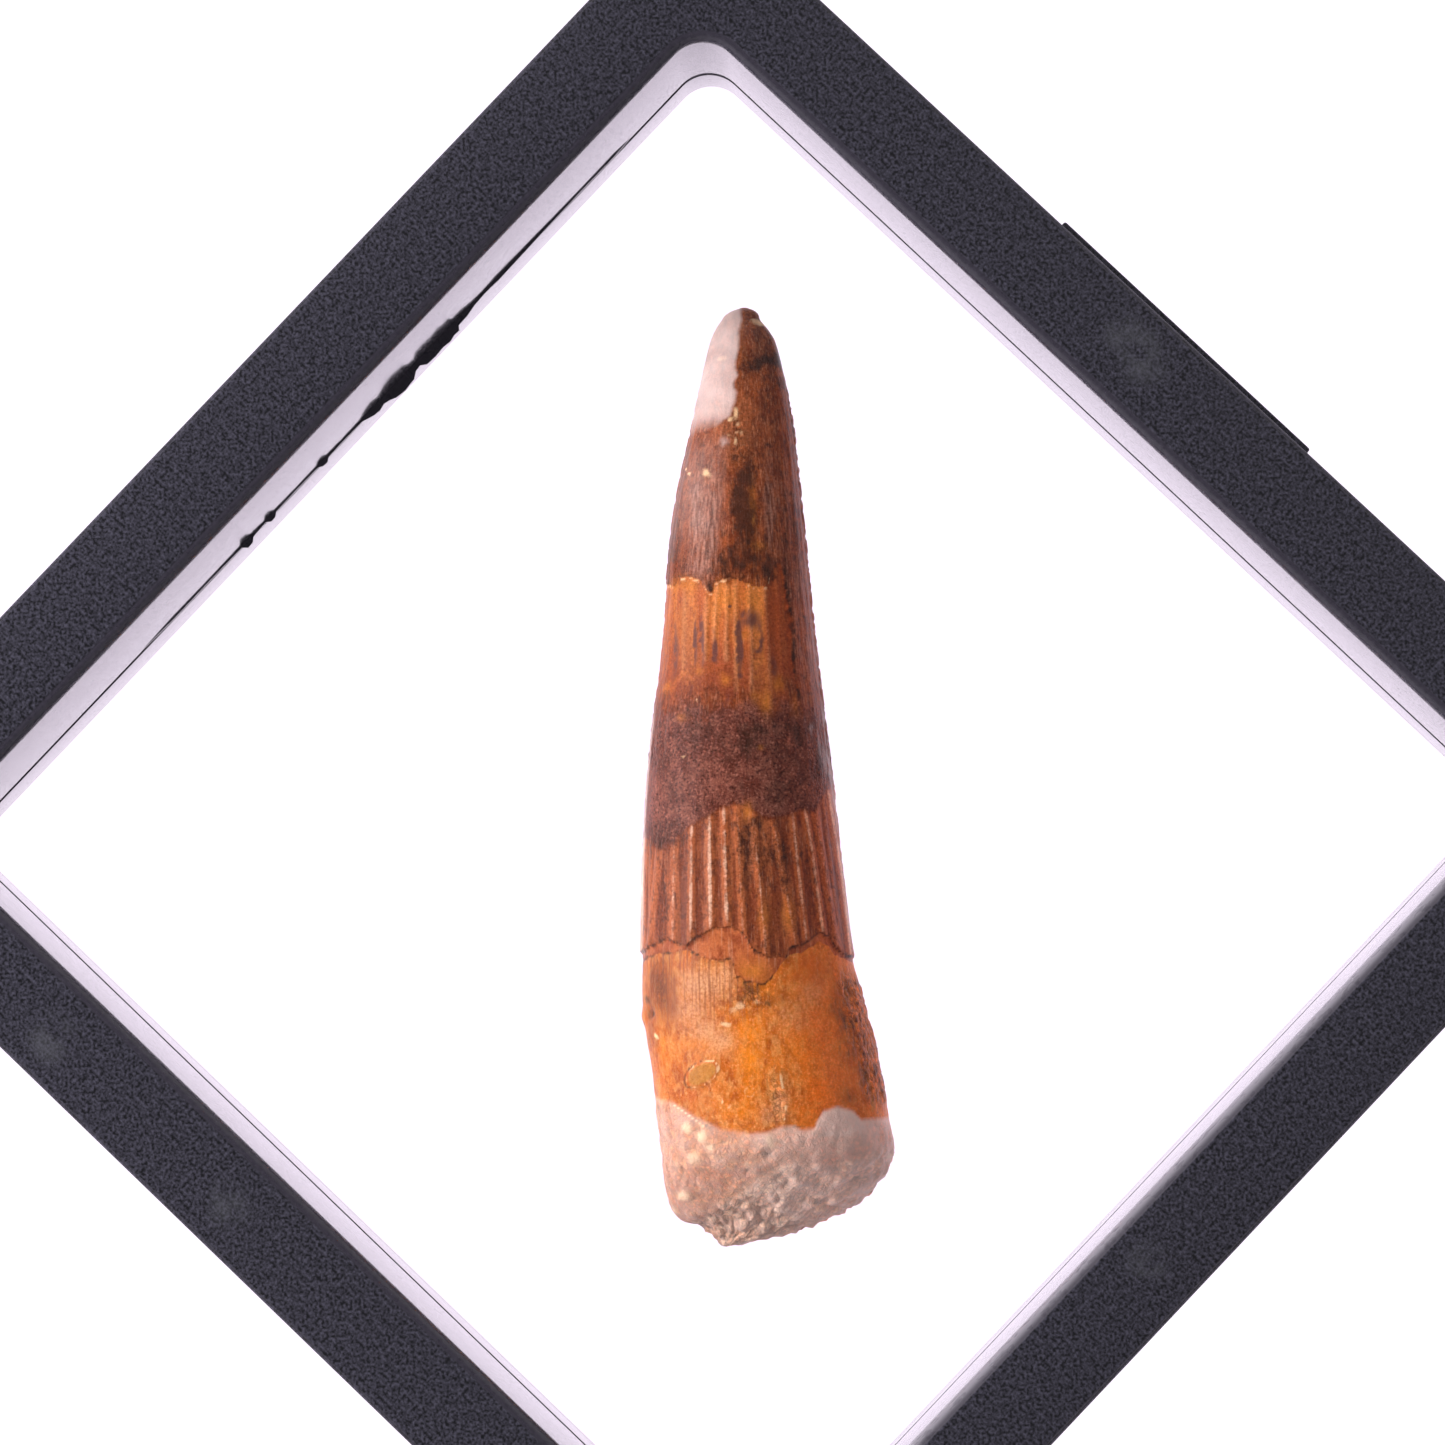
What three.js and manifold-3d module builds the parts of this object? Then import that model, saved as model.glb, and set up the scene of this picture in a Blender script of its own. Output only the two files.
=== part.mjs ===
// A fossil tooth held between two stretched clear films in a hinged square display case.
// Millimetres, +Z up. The case lies shut on its back half and is looked into from above.
// The hinge is on the +Y side and the finger tab on the -Y side. The tooth lies on the
// diagonal, with its tip towards the +X -Y corner.

import * as THREE from 'three';
import { mergeVertices } from 'three/addons/utils/BufferGeometryUtils.js';
import Module from 'manifold-3d';

const wasm = await Module();
wasm.setup();

// Case
const CASE_SIDE = 110;
const CASE_DEPTH = 20;
const SEAM_HEIGHT = 6.25;
const SEAM_GAP = 0.3;
const WINDOW_SIDE = 93.2;
const CASE_CORNER_RADIUS = 2.6;
const WINDOW_CORNER_RADIUS = 3.2;
const OUTER_EDGE_ROUND = 0.5;
const WINDOW_EDGE_ROUND = 0.8;
const FACE_PLATE = 1.8;
const OUTER_WALL = 1.6;
const INNER_WALL = 1.4;
const FILM_LEDGE = 3.4;
const FILM_LEDGE_THICKNESS = 1.2;
const CORNER_STEPS = 4;

// Finger tab, moulded on the front half just above the seam
const TAB_LENGTH = 28.6;
const TAB_REACH = 2.1;
const TAB_THICKNESS = 1.8;
const TAB_ROOT = 1;

// Moulded hinge, one group of three barrels near each end of the +Y side
const HINGE_AXIS_Y = 55.7;
const HINGE_RADIUS = 1.4;
const HINGE_GROUP_X = 41;
const LID_BARREL = 7;
const BASE_BARREL = 3.6;
const BARREL_GAP = 0.35;
const PEG_RADIUS = 0.7;
const PEG_LENGTH = 2.7;
const SOCKET_RADIUS = 0.82;
const SOCKET_DEPTH = 2.9;
const BARREL_CLEARANCE = 0.3;
const BARREL_SIDES = 16;

// Films
const FILM_THICKNESS = 0.2;
const FILM_SEAT = 0.05;
const FILM_OVERLAP = 3;
const FILM_CLEARANCE = 0.38;
const TABLE_CLEARANCE = 0.2;
const FILM_SIDE_STEPS = 8;
const FILM_RINGS = [0, 0.03, 0.07, 0.12, 0.2, 0.34, 0.6, 1];
const FILM_CREASE_START = 6;
const FILM_CREASE_END = 71;

// Tooth. The flutes' depth is a share of the half width.
const TOOTH_TIP = new THREE.Vector2(29.2, -32.9);
const TOOTH_TURNS = 52;
const SECTION_ROUNDNESS = 2.2;
const FLUTES = 26;
const FLUTE_DEPTH = 0.014;
const FLUTE_START = 8;
const ENAMEL_END = 55;
const ENAMEL_STEP = 0.2;
const FRACTURE_START = 70;
const FRACTURE_ROUGHNESS = 0.45;
const RING_SPACING = 2.1;

// Distance from the tip, left edge, right edge, underside and top of the tooth, where left
// and right are seen from above with the tip pointing away
const TOOTH_STATIONS = [
  [0, -0.3, 0.3, 7.4, 8],
  [1, -1.9, 1.3, 6.3, 9],
  [3, -3, 2.6, 5.5, 9.8],
  [9.7, -4.6, 3.8, 4.3, 11.2],
  [18, -6.5, 4.5, 3.2, 12.6],
  [30, -7.9, 5.4, 2.2, 13.8],
  [38, -9, 6.2, 1.7, 14.7],
  [47, -9.8, 7, 1.2, 15.6],
  [56, -10.2, 8, 0.9, 16.3],
  [60.5, -10.2, 9.2, 0.8, 16.5],
  [66, -9.5, 10.2, 0.78, 16.5],
  [69.5, -9.2, 10.7, 0.78, 16],
  [72, -9, 10.9, 0.8, 15],
  [75, -8.8, 9.6, 1, 12.3],
  [77.5, -7.8, 6.7, 1.5, 9.6],
  [79, -5.3, 2.6, 2.3, 8],
  [80, -4.2, -2.4, 3.4, 6.6],
];

const casePlastic = { color: 0x2b2b33, roughness: 0.6, metalness: 0 };
const clearFilm = { color: 0xf2f0f6, roughness: 0.08, metalness: 0, transparent: true, opacity: 0.2 };
const fossilEnamel = { color: 0x8a4420, roughness: 0.4, metalness: 0 };

// Joins loops of points into a closed surface. Each four points are split along the shorter
// diagonal, so that the two faces of a thin sheet follow each other. ends is 'joined' where
// the last loop meets the first, as on a tyre, 'capped' where each end gets a point in its
// middle, and 'creased' where each end loop is already folded flat on itself.
function skinLoops(loops, ends) {
  const count = loops[0].length;
  const points = loops.flat();
  const faces = [];
  const pairs = ends === 'joined' ? loops.length : loops.length - 1;
  for (let row = 0; row < pairs; row++) {
    const next = (row + 1) % loops.length;
    for (let i = 0; i < count; i++) {
      const j = (i + 1) % count;
      const [a, b] = [row * count + i, row * count + j];
      const [c, d] = [next * count + j, next * count + i];
      if (points[a].distanceTo(points[c]) < points[b].distanceTo(points[d])) {
        faces.push([a, b, c], [a, c, d]);
      } else {
        faces.push([a, b, d], [b, c, d]);
      }
    }
  }
  if (ends === 'capped') {
    for (const [row, turned] of [[0, true], [loops.length - 1, false]]) {
      const middle = new THREE.Vector3();
      loops[row].forEach((point) => middle.addScaledVector(point, 1 / count));
      points.push(middle);
      for (let i = 0; i < count; i++) {
        const a = row * count + i;
        const b = row * count + (i + 1) % count;
        faces.push(turned ? [points.length - 1, b, a] : [points.length - 1, a, b]);
      }
    }
  }
  return closedGeometry(points, faces);
}

// A geometry from points and triangles, with its faces turned to point outwards and with
// triangles that have no width left out.
function closedGeometry(points, faces) {
  const volume = faces.reduce((sum, [a, b, c]) => {
    const normal = new THREE.Vector3().crossVectors(points[b], points[c]);
    return sum + points[a].dot(normal) / 6;
  }, 0);
  const turned = volume < 0 ? faces.map(([a, b, c]) => [a, c, b]) : faces;
  const geometry = new THREE.BufferGeometry().setFromPoints(points);
  geometry.setIndex(turned.flat());
  const merged = mergeVertices(geometry, 1e-4);
  const index = merged.index.array;
  const kept = [];
  for (let i = 0; i < index.length; i += 3) {
    const [a, b, c] = [index[i], index[i + 1], index[i + 2]];
    if (a !== b && b !== c && c !== a) kept.push(a, b, c);
  }
  merged.setIndex(kept);
  return merged;
}

function toSolid(geometry) {
  const bare = geometry.clone();
  bare.deleteAttribute('normal');
  bare.deleteAttribute('uv');
  const merged = mergeVertices(bare, 1e-4);
  return new wasm.Manifold(new wasm.Mesh({
    numProp: 3,
    vertProperties: Float32Array.from(merged.attributes.position.array),
    triVerts: Uint32Array.from(merged.index.array),
  }));
}

function toGeometry(solid) {
  const mesh = solid.getMesh();
  const geometry = new THREE.BufferGeometry();
  geometry.setAttribute('position', new THREE.BufferAttribute(mesh.vertProperties, 3));
  geometry.setIndex(new THREE.BufferAttribute(mesh.triVerts, 1));
  return geometry;
}

function namedMesh(name, geometry, look) {
  const flat = geometry.toNonIndexed();
  flat.computeVertexNormals();
  const mesh = new THREE.Mesh(flat, new THREE.MeshStandardMaterial(look));
  mesh.name = name;
  return mesh;
}

// A square outline with round corners, given by half its side. Each straight side is cut
// into the same number of steps, so outlines of any size match point for point.
function squareOutline(half, radius, height, sideSteps = 1) {
  const points = [];
  const reach = half - radius;
  for (let corner = 0; corner < 4; corner++) {
    const turn = corner * Math.PI / 2;
    const centre = new THREE.Vector2(reach, reach).rotateAround(new THREE.Vector2(), turn);
    for (let step = 0; step <= CORNER_STEPS; step++) {
      const angle = turn + step / CORNER_STEPS * Math.PI / 2;
      const x = centre.x + radius * Math.cos(angle);
      const y = centre.y + radius * Math.sin(angle);
      points.push(new THREE.Vector3(x, y, height));
    }
    const along = new THREE.Vector2(0, 1).rotateAround(new THREE.Vector2(), turn + Math.PI / 2);
    const start = points[points.length - 1];
    for (let step = 1; step < sideSteps; step++) {
      const distance = 2 * reach * step / sideSteps;
      points.push(new THREE.Vector3(start.x, start.y, height)
        .add(new THREE.Vector3(along.x, along.y, 0).multiplyScalar(distance)));
    }
  }
  return points;
}

// One half of the case as moulded: a face plate, an outer and an inner wall, and a ledge at
// the seam that the film is bonded to. The channel between the walls is open at the seam.
// Heights are counted from the seam towards the face.
function halfShell(depth, faceSign) {
  const half = CASE_SIDE / 2;
  const window = WINDOW_SIDE / 2;
  const outerRadius = CASE_CORNER_RADIUS;
  const innerRadius = WINDOW_CORNER_RADIUS;
  const edgeMiddle = WINDOW_EDGE_ROUND / 4;
  const wallEdge = SEAM_GAP / 2;
  const ledgeEdge = 2 * FILM_SEAT + FILM_THICKNESS;
  const profile = [
    [half, outerRadius, wallEdge],
    [half, outerRadius, depth - OUTER_EDGE_ROUND],
    [half - OUTER_EDGE_ROUND, outerRadius - OUTER_EDGE_ROUND, depth],
    [window + WINDOW_EDGE_ROUND, innerRadius + WINDOW_EDGE_ROUND, depth],
    [window + edgeMiddle, innerRadius + edgeMiddle, depth - edgeMiddle],
    [window, innerRadius, depth - WINDOW_EDGE_ROUND],
    [window, innerRadius, ledgeEdge],
    [window + FILM_LEDGE, innerRadius + FILM_LEDGE, ledgeEdge],
    [window + FILM_LEDGE, innerRadius + FILM_LEDGE, ledgeEdge + FILM_LEDGE_THICKNESS],
    [window + INNER_WALL, innerRadius + INNER_WALL, ledgeEdge + FILM_LEDGE_THICKNESS],
    [window + INNER_WALL, innerRadius + INNER_WALL, depth - FACE_PLATE],
    [half - OUTER_WALL, outerRadius - OUTER_WALL, depth - FACE_PLATE],
    [half - OUTER_WALL, outerRadius - OUTER_WALL, wallEdge],
  ];
  const loops = profile.map(([reach, radius, rise]) =>
    squareOutline(reach, radius, SEAM_HEIGHT + faceSign * rise));
  return toSolid(skinLoops(loops, 'joined'));
}

// A round bar along X on the hinge axis, centred on x.
function hingeBar(x, length, radius) {
  const bar = new THREE.CylinderGeometry(radius, radius, length, BARREL_SIDES);
  bar.rotateZ(Math.PI / 2);
  bar.translate(x, HINGE_AXIS_Y, SEAM_HEIGHT);
  return toSolid(bar);
}

const baseBarrelOffset = LID_BARREL / 2 + BARREL_GAP + BASE_BARREL / 2;
const hingeGroups = [-HINGE_GROUP_X, HINGE_GROUP_X];

// The front half carries the middle barrel of each group, with a peg at each of its ends.
function buildFrontFrame() {
  let solid = halfShell(CASE_DEPTH - SEAM_HEIGHT, 1);
  for (const x of hingeGroups) {
    for (const side of [-1, 1]) {
      const notch = hingeBar(x + side * baseBarrelOffset, BASE_BARREL + 2 * BARREL_GAP,
        HINGE_RADIUS + BARREL_CLEARANCE);
      solid = solid.subtract(notch);
    }
    solid = solid.add(hingeBar(x, LID_BARREL, HINGE_RADIUS));
    solid = solid.add(hingeBar(x, LID_BARREL + 2 * PEG_LENGTH, PEG_RADIUS));
  }
  const tab = new THREE.BoxGeometry(TAB_LENGTH, TAB_REACH + TAB_ROOT, TAB_THICKNESS);
  const tabMiddle = -CASE_SIDE / 2 + (TAB_ROOT - TAB_REACH) / 2;
  tab.translate(0, tabMiddle, SEAM_HEIGHT + SEAM_GAP / 2 + TAB_THICKNESS / 2);
  return toGeometry(solid.add(toSolid(tab)));
}

// The back half carries the two outer barrels of each group, bored for the pegs.
function buildBackFrame() {
  let solid = halfShell(SEAM_HEIGHT, -1);
  for (const x of hingeGroups) {
    const notch = hingeBar(x, LID_BARREL + 2 * BARREL_GAP, HINGE_RADIUS + BARREL_CLEARANCE);
    solid = solid.subtract(notch);
    for (const side of [-1, 1]) {
      solid = solid.add(hingeBar(x + side * baseBarrelOffset, BASE_BARREL, HINGE_RADIUS));
      const mouth = x + side * (LID_BARREL / 2 + BARREL_GAP);
      const bore = hingeBar(mouth + side * (SOCKET_DEPTH - 1) / 2, SOCKET_DEPTH + 1, SOCKET_RADIUS);
      solid = solid.subtract(bore);
    }
  }
  return toGeometry(solid);
}

// One column of the tooth's stations at any distance from the tip, on a smooth curve.
function stationValue(column, distance) {
  const last = TOOTH_STATIONS.length - 1;
  let row = 0;
  while (row < last - 1 && TOOTH_STATIONS[row + 1][0] < distance) row++;
  const at = (i) => TOOTH_STATIONS[Math.min(Math.max(i, 0), last)];
  const slope = (i) => (at(i + 1)[column] - at(i - 1)[column]) / (at(i + 1)[0] - at(i - 1)[0]);
  const span = at(row + 1)[0] - at(row)[0];
  const t = THREE.MathUtils.clamp((distance - at(row)[0]) / span, 0, 1);
  const rise = t * t * (3 - 2 * t);
  return at(row)[column] * (1 - rise) + at(row + 1)[column] * rise
    + span * (slope(row) * t * (1 - t) ** 2 - slope(row + 1) * t * t * (1 - t));
}

function toothSection(distance) {
  const [left, right, bottom, top] = [1, 2, 3, 4].map((column) => stationValue(column, distance));
  return {
    middle: (left + right) / 2,
    halfWidth: (right - left) / 2,
    level: (bottom + top) / 2,
    halfHeight: (top - bottom) / 2,
  };
}

// Repeatable unevenness between -1 and 1 from three crossing waves.
function unevenness(x, y, z) {
  const waves = Math.sin(2.3 * x + 1.7 * y) + Math.sin(2.9 * y - 1.3 * z + 2)
    + Math.sin(3.1 * z + 1.9 * x);
  return waves / 3;
}

// From tooth coordinates, along and across, to the case's own.
const toothAlong = new THREE.Vector2(-1, 1).normalize();
const toothAcross = new THREE.Vector2(-1, -1).normalize();
function toothPoint(distance, across, height) {
  const place = TOOTH_TIP.clone()
    .addScaledVector(toothAlong, distance)
    .addScaledVector(toothAcross, across);
  return new THREE.Vector3(place.x, place.y, height);
}

// A bent cone, fluted lengthwise on the enamel crown, smooth on the root, and broken off
// unevenly where sediment fills the root.
function buildTooth() {
  const length = TOOTH_STATIONS[TOOTH_STATIONS.length - 1][0];
  const rings = [0, 0.3, 0.7, 1.2, 2];
  while (rings[rings.length - 1] < length - RING_SPACING * 1.5) {
    rings.push(rings[rings.length - 1] + RING_SPACING);
  }
  rings.push(length - 1, length);
  const loops = rings.map((distance) => {
    const section = toothSection(distance);
    const fluting = THREE.MathUtils.smoothstep(distance, 0, FLUTE_START)
      * (1 - THREE.MathUtils.smoothstep(distance, ENAMEL_END - 2, ENAMEL_END));
    const step = ENAMEL_STEP * THREE.MathUtils.smoothstep(distance, ENAMEL_END - 1, ENAMEL_END + 1);
    const fluteDepth = FLUTE_DEPTH * section.halfWidth * fluting;
    const broken = THREE.MathUtils.smoothstep(distance, FRACTURE_START, FRACTURE_START + 6);
    const loop = [];
    for (let i = 0; i < TOOTH_TURNS; i++) {
      const angle = i / TOOTH_TURNS * 2 * Math.PI;
      const round = 2 / SECTION_ROUNDNESS;
      const x = Math.sign(Math.cos(angle)) * Math.abs(Math.cos(angle)) ** round;
      const y = Math.sign(Math.sin(angle)) * Math.abs(Math.sin(angle)) ** round;
      const relief = fluteDepth * Math.cos(FLUTES * angle) - step;
      const across = section.middle + x * (section.halfWidth + relief);
      const height = section.level + y * (section.halfHeight + relief);
      const rough = FRACTURE_ROUGHNESS * broken * unevenness(distance, across, height);
      loop.push(toothPoint(distance + rough, across, height - (y > 0 ? Math.abs(rough) : 0)));
    }
    return loop;
  });
  return skinLoops(loops, 'capped');
}

// The tooth's top or underside at a place in the case, or null beside it.
function toothHeight(x, y, side) {
  const place = new THREE.Vector2(x, y).sub(TOOTH_TIP);
  const distance = place.dot(toothAlong);
  if (distance < 0 || distance > TOOTH_STATIONS[TOOTH_STATIONS.length - 1][0]) return null;
  const section = toothSection(distance);
  const across = Math.abs((place.dot(toothAcross) - section.middle) / section.halfWidth);
  if (across >= 1) return null;
  const bulge = (1 - across ** SECTION_ROUNDNESS) ** (1 / SECTION_ROUNDNESS);
  return section.level + side * section.halfHeight * bulge;
}

// The height of a film stretched over the window and pushed out by the tooth: each point of
// a 1 mm grid settles to the mean of its neighbours, unless the tooth or the table stops it.
// side is 1 for the front film, which the tooth lifts, and -1 for the back one.
function stretchFilm(side, rimHeight) {
  const cells = Math.round(WINDOW_SIDE);
  const spacing = WINDOW_SIDE / cells;
  const heights = new Float64Array((cells + 1) ** 2).fill(rimHeight);
  const limits = new Float64Array((cells + 1) ** 2).fill(rimHeight);
  for (let row = 1; row < cells; row++) {
    for (let column = 1; column < cells; column++) {
      const stop = toothHeight(column * spacing - WINDOW_SIDE / 2, row * spacing - WINDOW_SIDE / 2, side);
      if (stop === null) continue;
      const pushed = stop + side * FILM_CLEARANCE;
      limits[row * (cells + 1) + column] = side > 0 ? Math.max(rimHeight, pushed)
        : Math.min(rimHeight, Math.max(TABLE_CLEARANCE + FILM_THICKNESS, pushed));
    }
  }
  const relaxation = 1.9;
  for (let pass = 0; pass < 400; pass++) {
    for (let row = 1; row < cells; row++) {
      for (let column = 1; column < cells; column++) {
        const here = row * (cells + 1) + column;
        const mean = (heights[here - 1] + heights[here + 1]
          + heights[here - cells - 1] + heights[here + cells + 1]) / 4;
        const settled = heights[here] + relaxation * (mean - heights[here]);
        heights[here] = side > 0 ? Math.max(limits[here], settled) : Math.min(limits[here], settled);
      }
    }
  }
  return (x, y) => {
    const column = THREE.MathUtils.clamp((x + WINDOW_SIDE / 2) / spacing, 0, cells - 1e-6);
    const row = THREE.MathUtils.clamp((y + WINDOW_SIDE / 2) / spacing, 0, cells - 1e-6);
    const [c, r] = [Math.floor(column), Math.floor(row)];
    const at = (i, j) => heights[(r + j) * (cells + 1) + c + i];
    const near = THREE.MathUtils.lerp(at(0, 0), at(1, 0), column - c);
    const far = THREE.MathUtils.lerp(at(0, 1), at(1, 1), column - c);
    return THREE.MathUtils.lerp(near, far, row - r);
  };
}

// A film as a thin closed sheet: rings of points spread from the crease over the tooth out
// to the window's edge, then flat across the ledge.
function buildFilm(side) {
  const rimHeight = SEAM_HEIGHT + side * FILM_SEAT;
  const heightAt = stretchFilm(side, rimHeight);
  const edge = squareOutline(WINDOW_SIDE / 2, WINDOW_CORNER_RADIUS, rimHeight, FILM_SIDE_STEPS);
  const hem = squareOutline(WINDOW_SIDE / 2 + FILM_OVERLAP, WINDOW_CORNER_RADIUS + FILM_OVERLAP,
    rimHeight, FILM_SIDE_STEPS);
  const midBody = toothSection((FILM_CREASE_START + FILM_CREASE_END) / 2).middle;
  const creaseStart = toothPoint(FILM_CREASE_START, midBody, 0);
  const creaseEnd = toothPoint(FILM_CREASE_END, midBody, 0);
  const crease = new THREE.Line3(creaseStart, creaseEnd);
  const nearLoops = FILM_RINGS.map((fraction) => edge.map((rim) => {
    const flat = new THREE.Vector3(rim.x, rim.y, 0);
    const onCrease = crease.closestPointToPoint(flat, true, new THREE.Vector3());
    const point = onCrease.lerp(flat, fraction);
    point.z = fraction === 1 ? rimHeight : heightAt(point.x, point.y);
    return point;
  }));
  nearLoops.push(hem);
  const farLoops = nearLoops.map((loop) =>
    loop.map((point) => new THREE.Vector3(point.x, point.y, point.z + side * FILM_THICKNESS)));
  return skinLoops([...nearLoops, ...farLoops.reverse()], 'creased');
}

const group = new THREE.Group();
group.add(namedMesh('back_frame', buildBackFrame(), casePlastic));
group.add(namedMesh('back_membrane', buildFilm(-1), clearFilm));
group.add(namedMesh('tooth', buildTooth(), fossilEnamel));
group.add(namedMesh('front_membrane', buildFilm(1), clearFilm));
group.add(namedMesh('front_frame', buildFrontFrame(), casePlastic));

export default group;
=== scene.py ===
import math

import bmesh
import bpy
import numpy as np
from mathutils import Matrix, Vector, noise


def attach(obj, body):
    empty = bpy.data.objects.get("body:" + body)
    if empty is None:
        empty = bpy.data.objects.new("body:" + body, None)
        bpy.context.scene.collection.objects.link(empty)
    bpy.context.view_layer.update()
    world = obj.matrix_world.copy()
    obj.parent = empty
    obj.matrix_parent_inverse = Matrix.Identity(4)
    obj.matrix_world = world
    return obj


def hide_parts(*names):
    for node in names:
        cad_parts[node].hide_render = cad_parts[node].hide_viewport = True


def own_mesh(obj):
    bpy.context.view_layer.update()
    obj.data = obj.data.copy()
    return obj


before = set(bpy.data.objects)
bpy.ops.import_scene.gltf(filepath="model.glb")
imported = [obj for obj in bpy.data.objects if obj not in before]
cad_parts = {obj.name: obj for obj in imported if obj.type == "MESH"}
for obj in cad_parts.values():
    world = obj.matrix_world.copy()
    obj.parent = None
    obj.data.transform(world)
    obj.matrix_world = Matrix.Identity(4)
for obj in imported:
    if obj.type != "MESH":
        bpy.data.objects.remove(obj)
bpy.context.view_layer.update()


# The back half of the case, the shallower one, that lies on the table.
# It is one moulding of black plastic: a square frame with a spark-textured face and smooth
# inner walls, with the sockets of the hinge along one side. All measures are in millimetres.
MM = 0.001
CASE_SIDE = 110
CASE_DEPTH = 20
WINDOW_SIDE = 93.2
SEAM_HEIGHT = 6.25
SEAM_GAP = 0.3
FACE_PLATE = 1.8
OUTER_WALL = 1.6
INNER_WALL = 1.4
FILM_LEDGE = 3.4
LEDGE_THICKNESS = 1.2
LEDGE_EDGE = 0.3
CASE_CORNER_RADIUS = 2.6
WINDOW_CORNER_RADIUS = 3.2
OUTER_EDGE_ROUND = 0.5
WINDOW_EDGE_ROUND = 0.8
SEAM_ROUND = 0.2
LEAST_RADIUS = 0.05
CORNER_STEPS = 14
HINGE_AXIS_Y = 55.7
HINGE_RADIUS = 1.4
HINGE_GROUP_X = 41
LID_BARREL = 7
BASE_BARREL = 3.6
BARREL_GAP = 0.35
BARREL_END_ROUND = 0.15
PEG_RADIUS = 0.7
PEG_LENGTH = 2.7
PEG_END_ROUND = 0.12
SOCKET_RADIUS = 0.82
SOCKET_DEPTH = 2.9
BARREL_CLEARANCE = 0.3
BAR_SIDES = 32
BASE_BARREL_OFFSET = LID_BARREL / 2 + BARREL_GAP + BASE_BARREL / 2


def square_outline(half, radius, height):
    """A square with round corners at one height, as a list of points."""
    points = []
    reach = half - radius
    for corner in range(4):
        turn = corner * math.pi / 2
        cx = reach * math.cos(turn) - reach * math.sin(turn)
        cy = reach * math.sin(turn) + reach * math.cos(turn)
        for step in range(CORNER_STEPS + 1):
            angle = turn + step / CORNER_STEPS * math.pi / 2
            points.append((cx + radius * math.cos(angle), cy + radius * math.sin(angle), height))
    return points


def rounded_edge(start, end, bulge, steps):
    """Points of a quarter round from start to end in profile, bulging towards the third point."""
    points = []
    for step in range(1, steps):
        angle = step / steps * math.pi / 2
        start_share, end_share = 1 - math.sin(angle), 1 - math.cos(angle)
        points.append(tuple(
            corner + start_share * (first - corner) + end_share * (last - corner)
            for first, last, corner in zip(start, end, bulge)
        ))
    return points


def shell_profile(depth):
    """The section through one half's wall: reach from the middle, corner radius, rise."""

    def outer(inset, rise):
        return CASE_SIDE / 2 - inset, CASE_CORNER_RADIUS - inset, rise

    def inner(inset, rise):
        return WINDOW_SIDE / 2 + inset, WINDOW_CORNER_RADIUS + inset, rise

    ledge = LEDGE_EDGE + LEDGE_THICKNESS
    top_start, top_end = outer(0, depth - OUTER_EDGE_ROUND), outer(OUTER_EDGE_ROUND, depth)
    lip_start, lip_end = inner(WINDOW_EDGE_ROUND, depth), inner(0, depth - WINDOW_EDGE_ROUND)
    return [
        outer(0, SEAM_GAP / 2), top_start,
        *rounded_edge(top_start, top_end, outer(0, depth), 5), top_end, lip_start,
        *rounded_edge(lip_start, lip_end, inner(0, depth), 7), lip_end,
        inner(0, LEDGE_EDGE + SEAM_ROUND), inner(SEAM_ROUND, LEDGE_EDGE),
        inner(FILM_LEDGE, LEDGE_EDGE), inner(FILM_LEDGE, ledge), inner(INNER_WALL, ledge),
        inner(INNER_WALL, depth - FACE_PLATE), outer(OUTER_WALL, depth - FACE_PLATE),
        outer(OUTER_WALL, SEAM_GAP / 2),
    ]


def ring_faces(rings, count, closed=False):
    """The faces between neighbouring rings of points, and a cap on each end unless closed."""
    faces = []
    for ring in range(rings if closed else rings - 1):
        start, after = ring * count, (ring + 1) % rings * count
        for i in range(count):
            j = (i + 1) % count
            faces.append((start + i, start + j, after + j, after + i))
    if not closed:
        faces += [tuple(range(count)), tuple(range((rings - 1) * count, rings * count))]
    return faces


def placed(name, data):
    """A new object in the scene, made of a mesh, a lamp or a camera."""
    piece = bpy.data.objects.new(name, data)
    bpy.context.scene.collection.objects.link(piece)
    return piece


def piece_from(name, points, faces):
    """A new object from points and faces, with its faces turned to point outwards."""
    mesh = bpy.data.meshes.new(name)
    mesh.from_pydata((np.array(points, float) * MM).tolist(), [], faces)
    mesh.validate()
    skin = bmesh.new()
    skin.from_mesh(mesh)
    bmesh.ops.remove_doubles(skin, verts=skin.verts, dist=1e-7)
    bmesh.ops.recalc_face_normals(skin, faces=skin.faces)
    skin.to_mesh(mesh)
    skin.free()
    return placed(name, mesh)


def half_shell(name, depth, face_sign):
    """One half of the case as moulded, open at the seam between its outer and inner walls."""
    loops = [
        square_outline(reach, max(radius, LEAST_RADIUS), SEAM_HEIGHT + face_sign * rise)
        for reach, radius, rise in shell_profile(depth)
    ]
    points = [point for loop in loops for point in loop]
    return piece_from(name, points, ring_faces(len(loops), len(loops[0]), closed=True))


def hinge_bar(x, length, radius, rounding=0.0):
    """A round bar along the hinge axis, centred on x, with its end edges rounded."""
    ends = [(-length / 2, radius - rounding), (-length / 2 + rounding, radius)]
    if not rounding:
        ends = ends[1:]
    stations = ends + [(-along, r) for along, r in reversed(ends)]
    points = []
    for along, r in stations:
        for i in range(BAR_SIDES):
            angle = i / BAR_SIDES * 2 * math.pi
            points.append((x + along, HINGE_AXIS_Y + r * math.cos(angle),
                           SEAM_HEIGHT + r * math.sin(angle)))
    return piece_from("bar", points, ring_faces(len(stations), BAR_SIDES))


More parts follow.
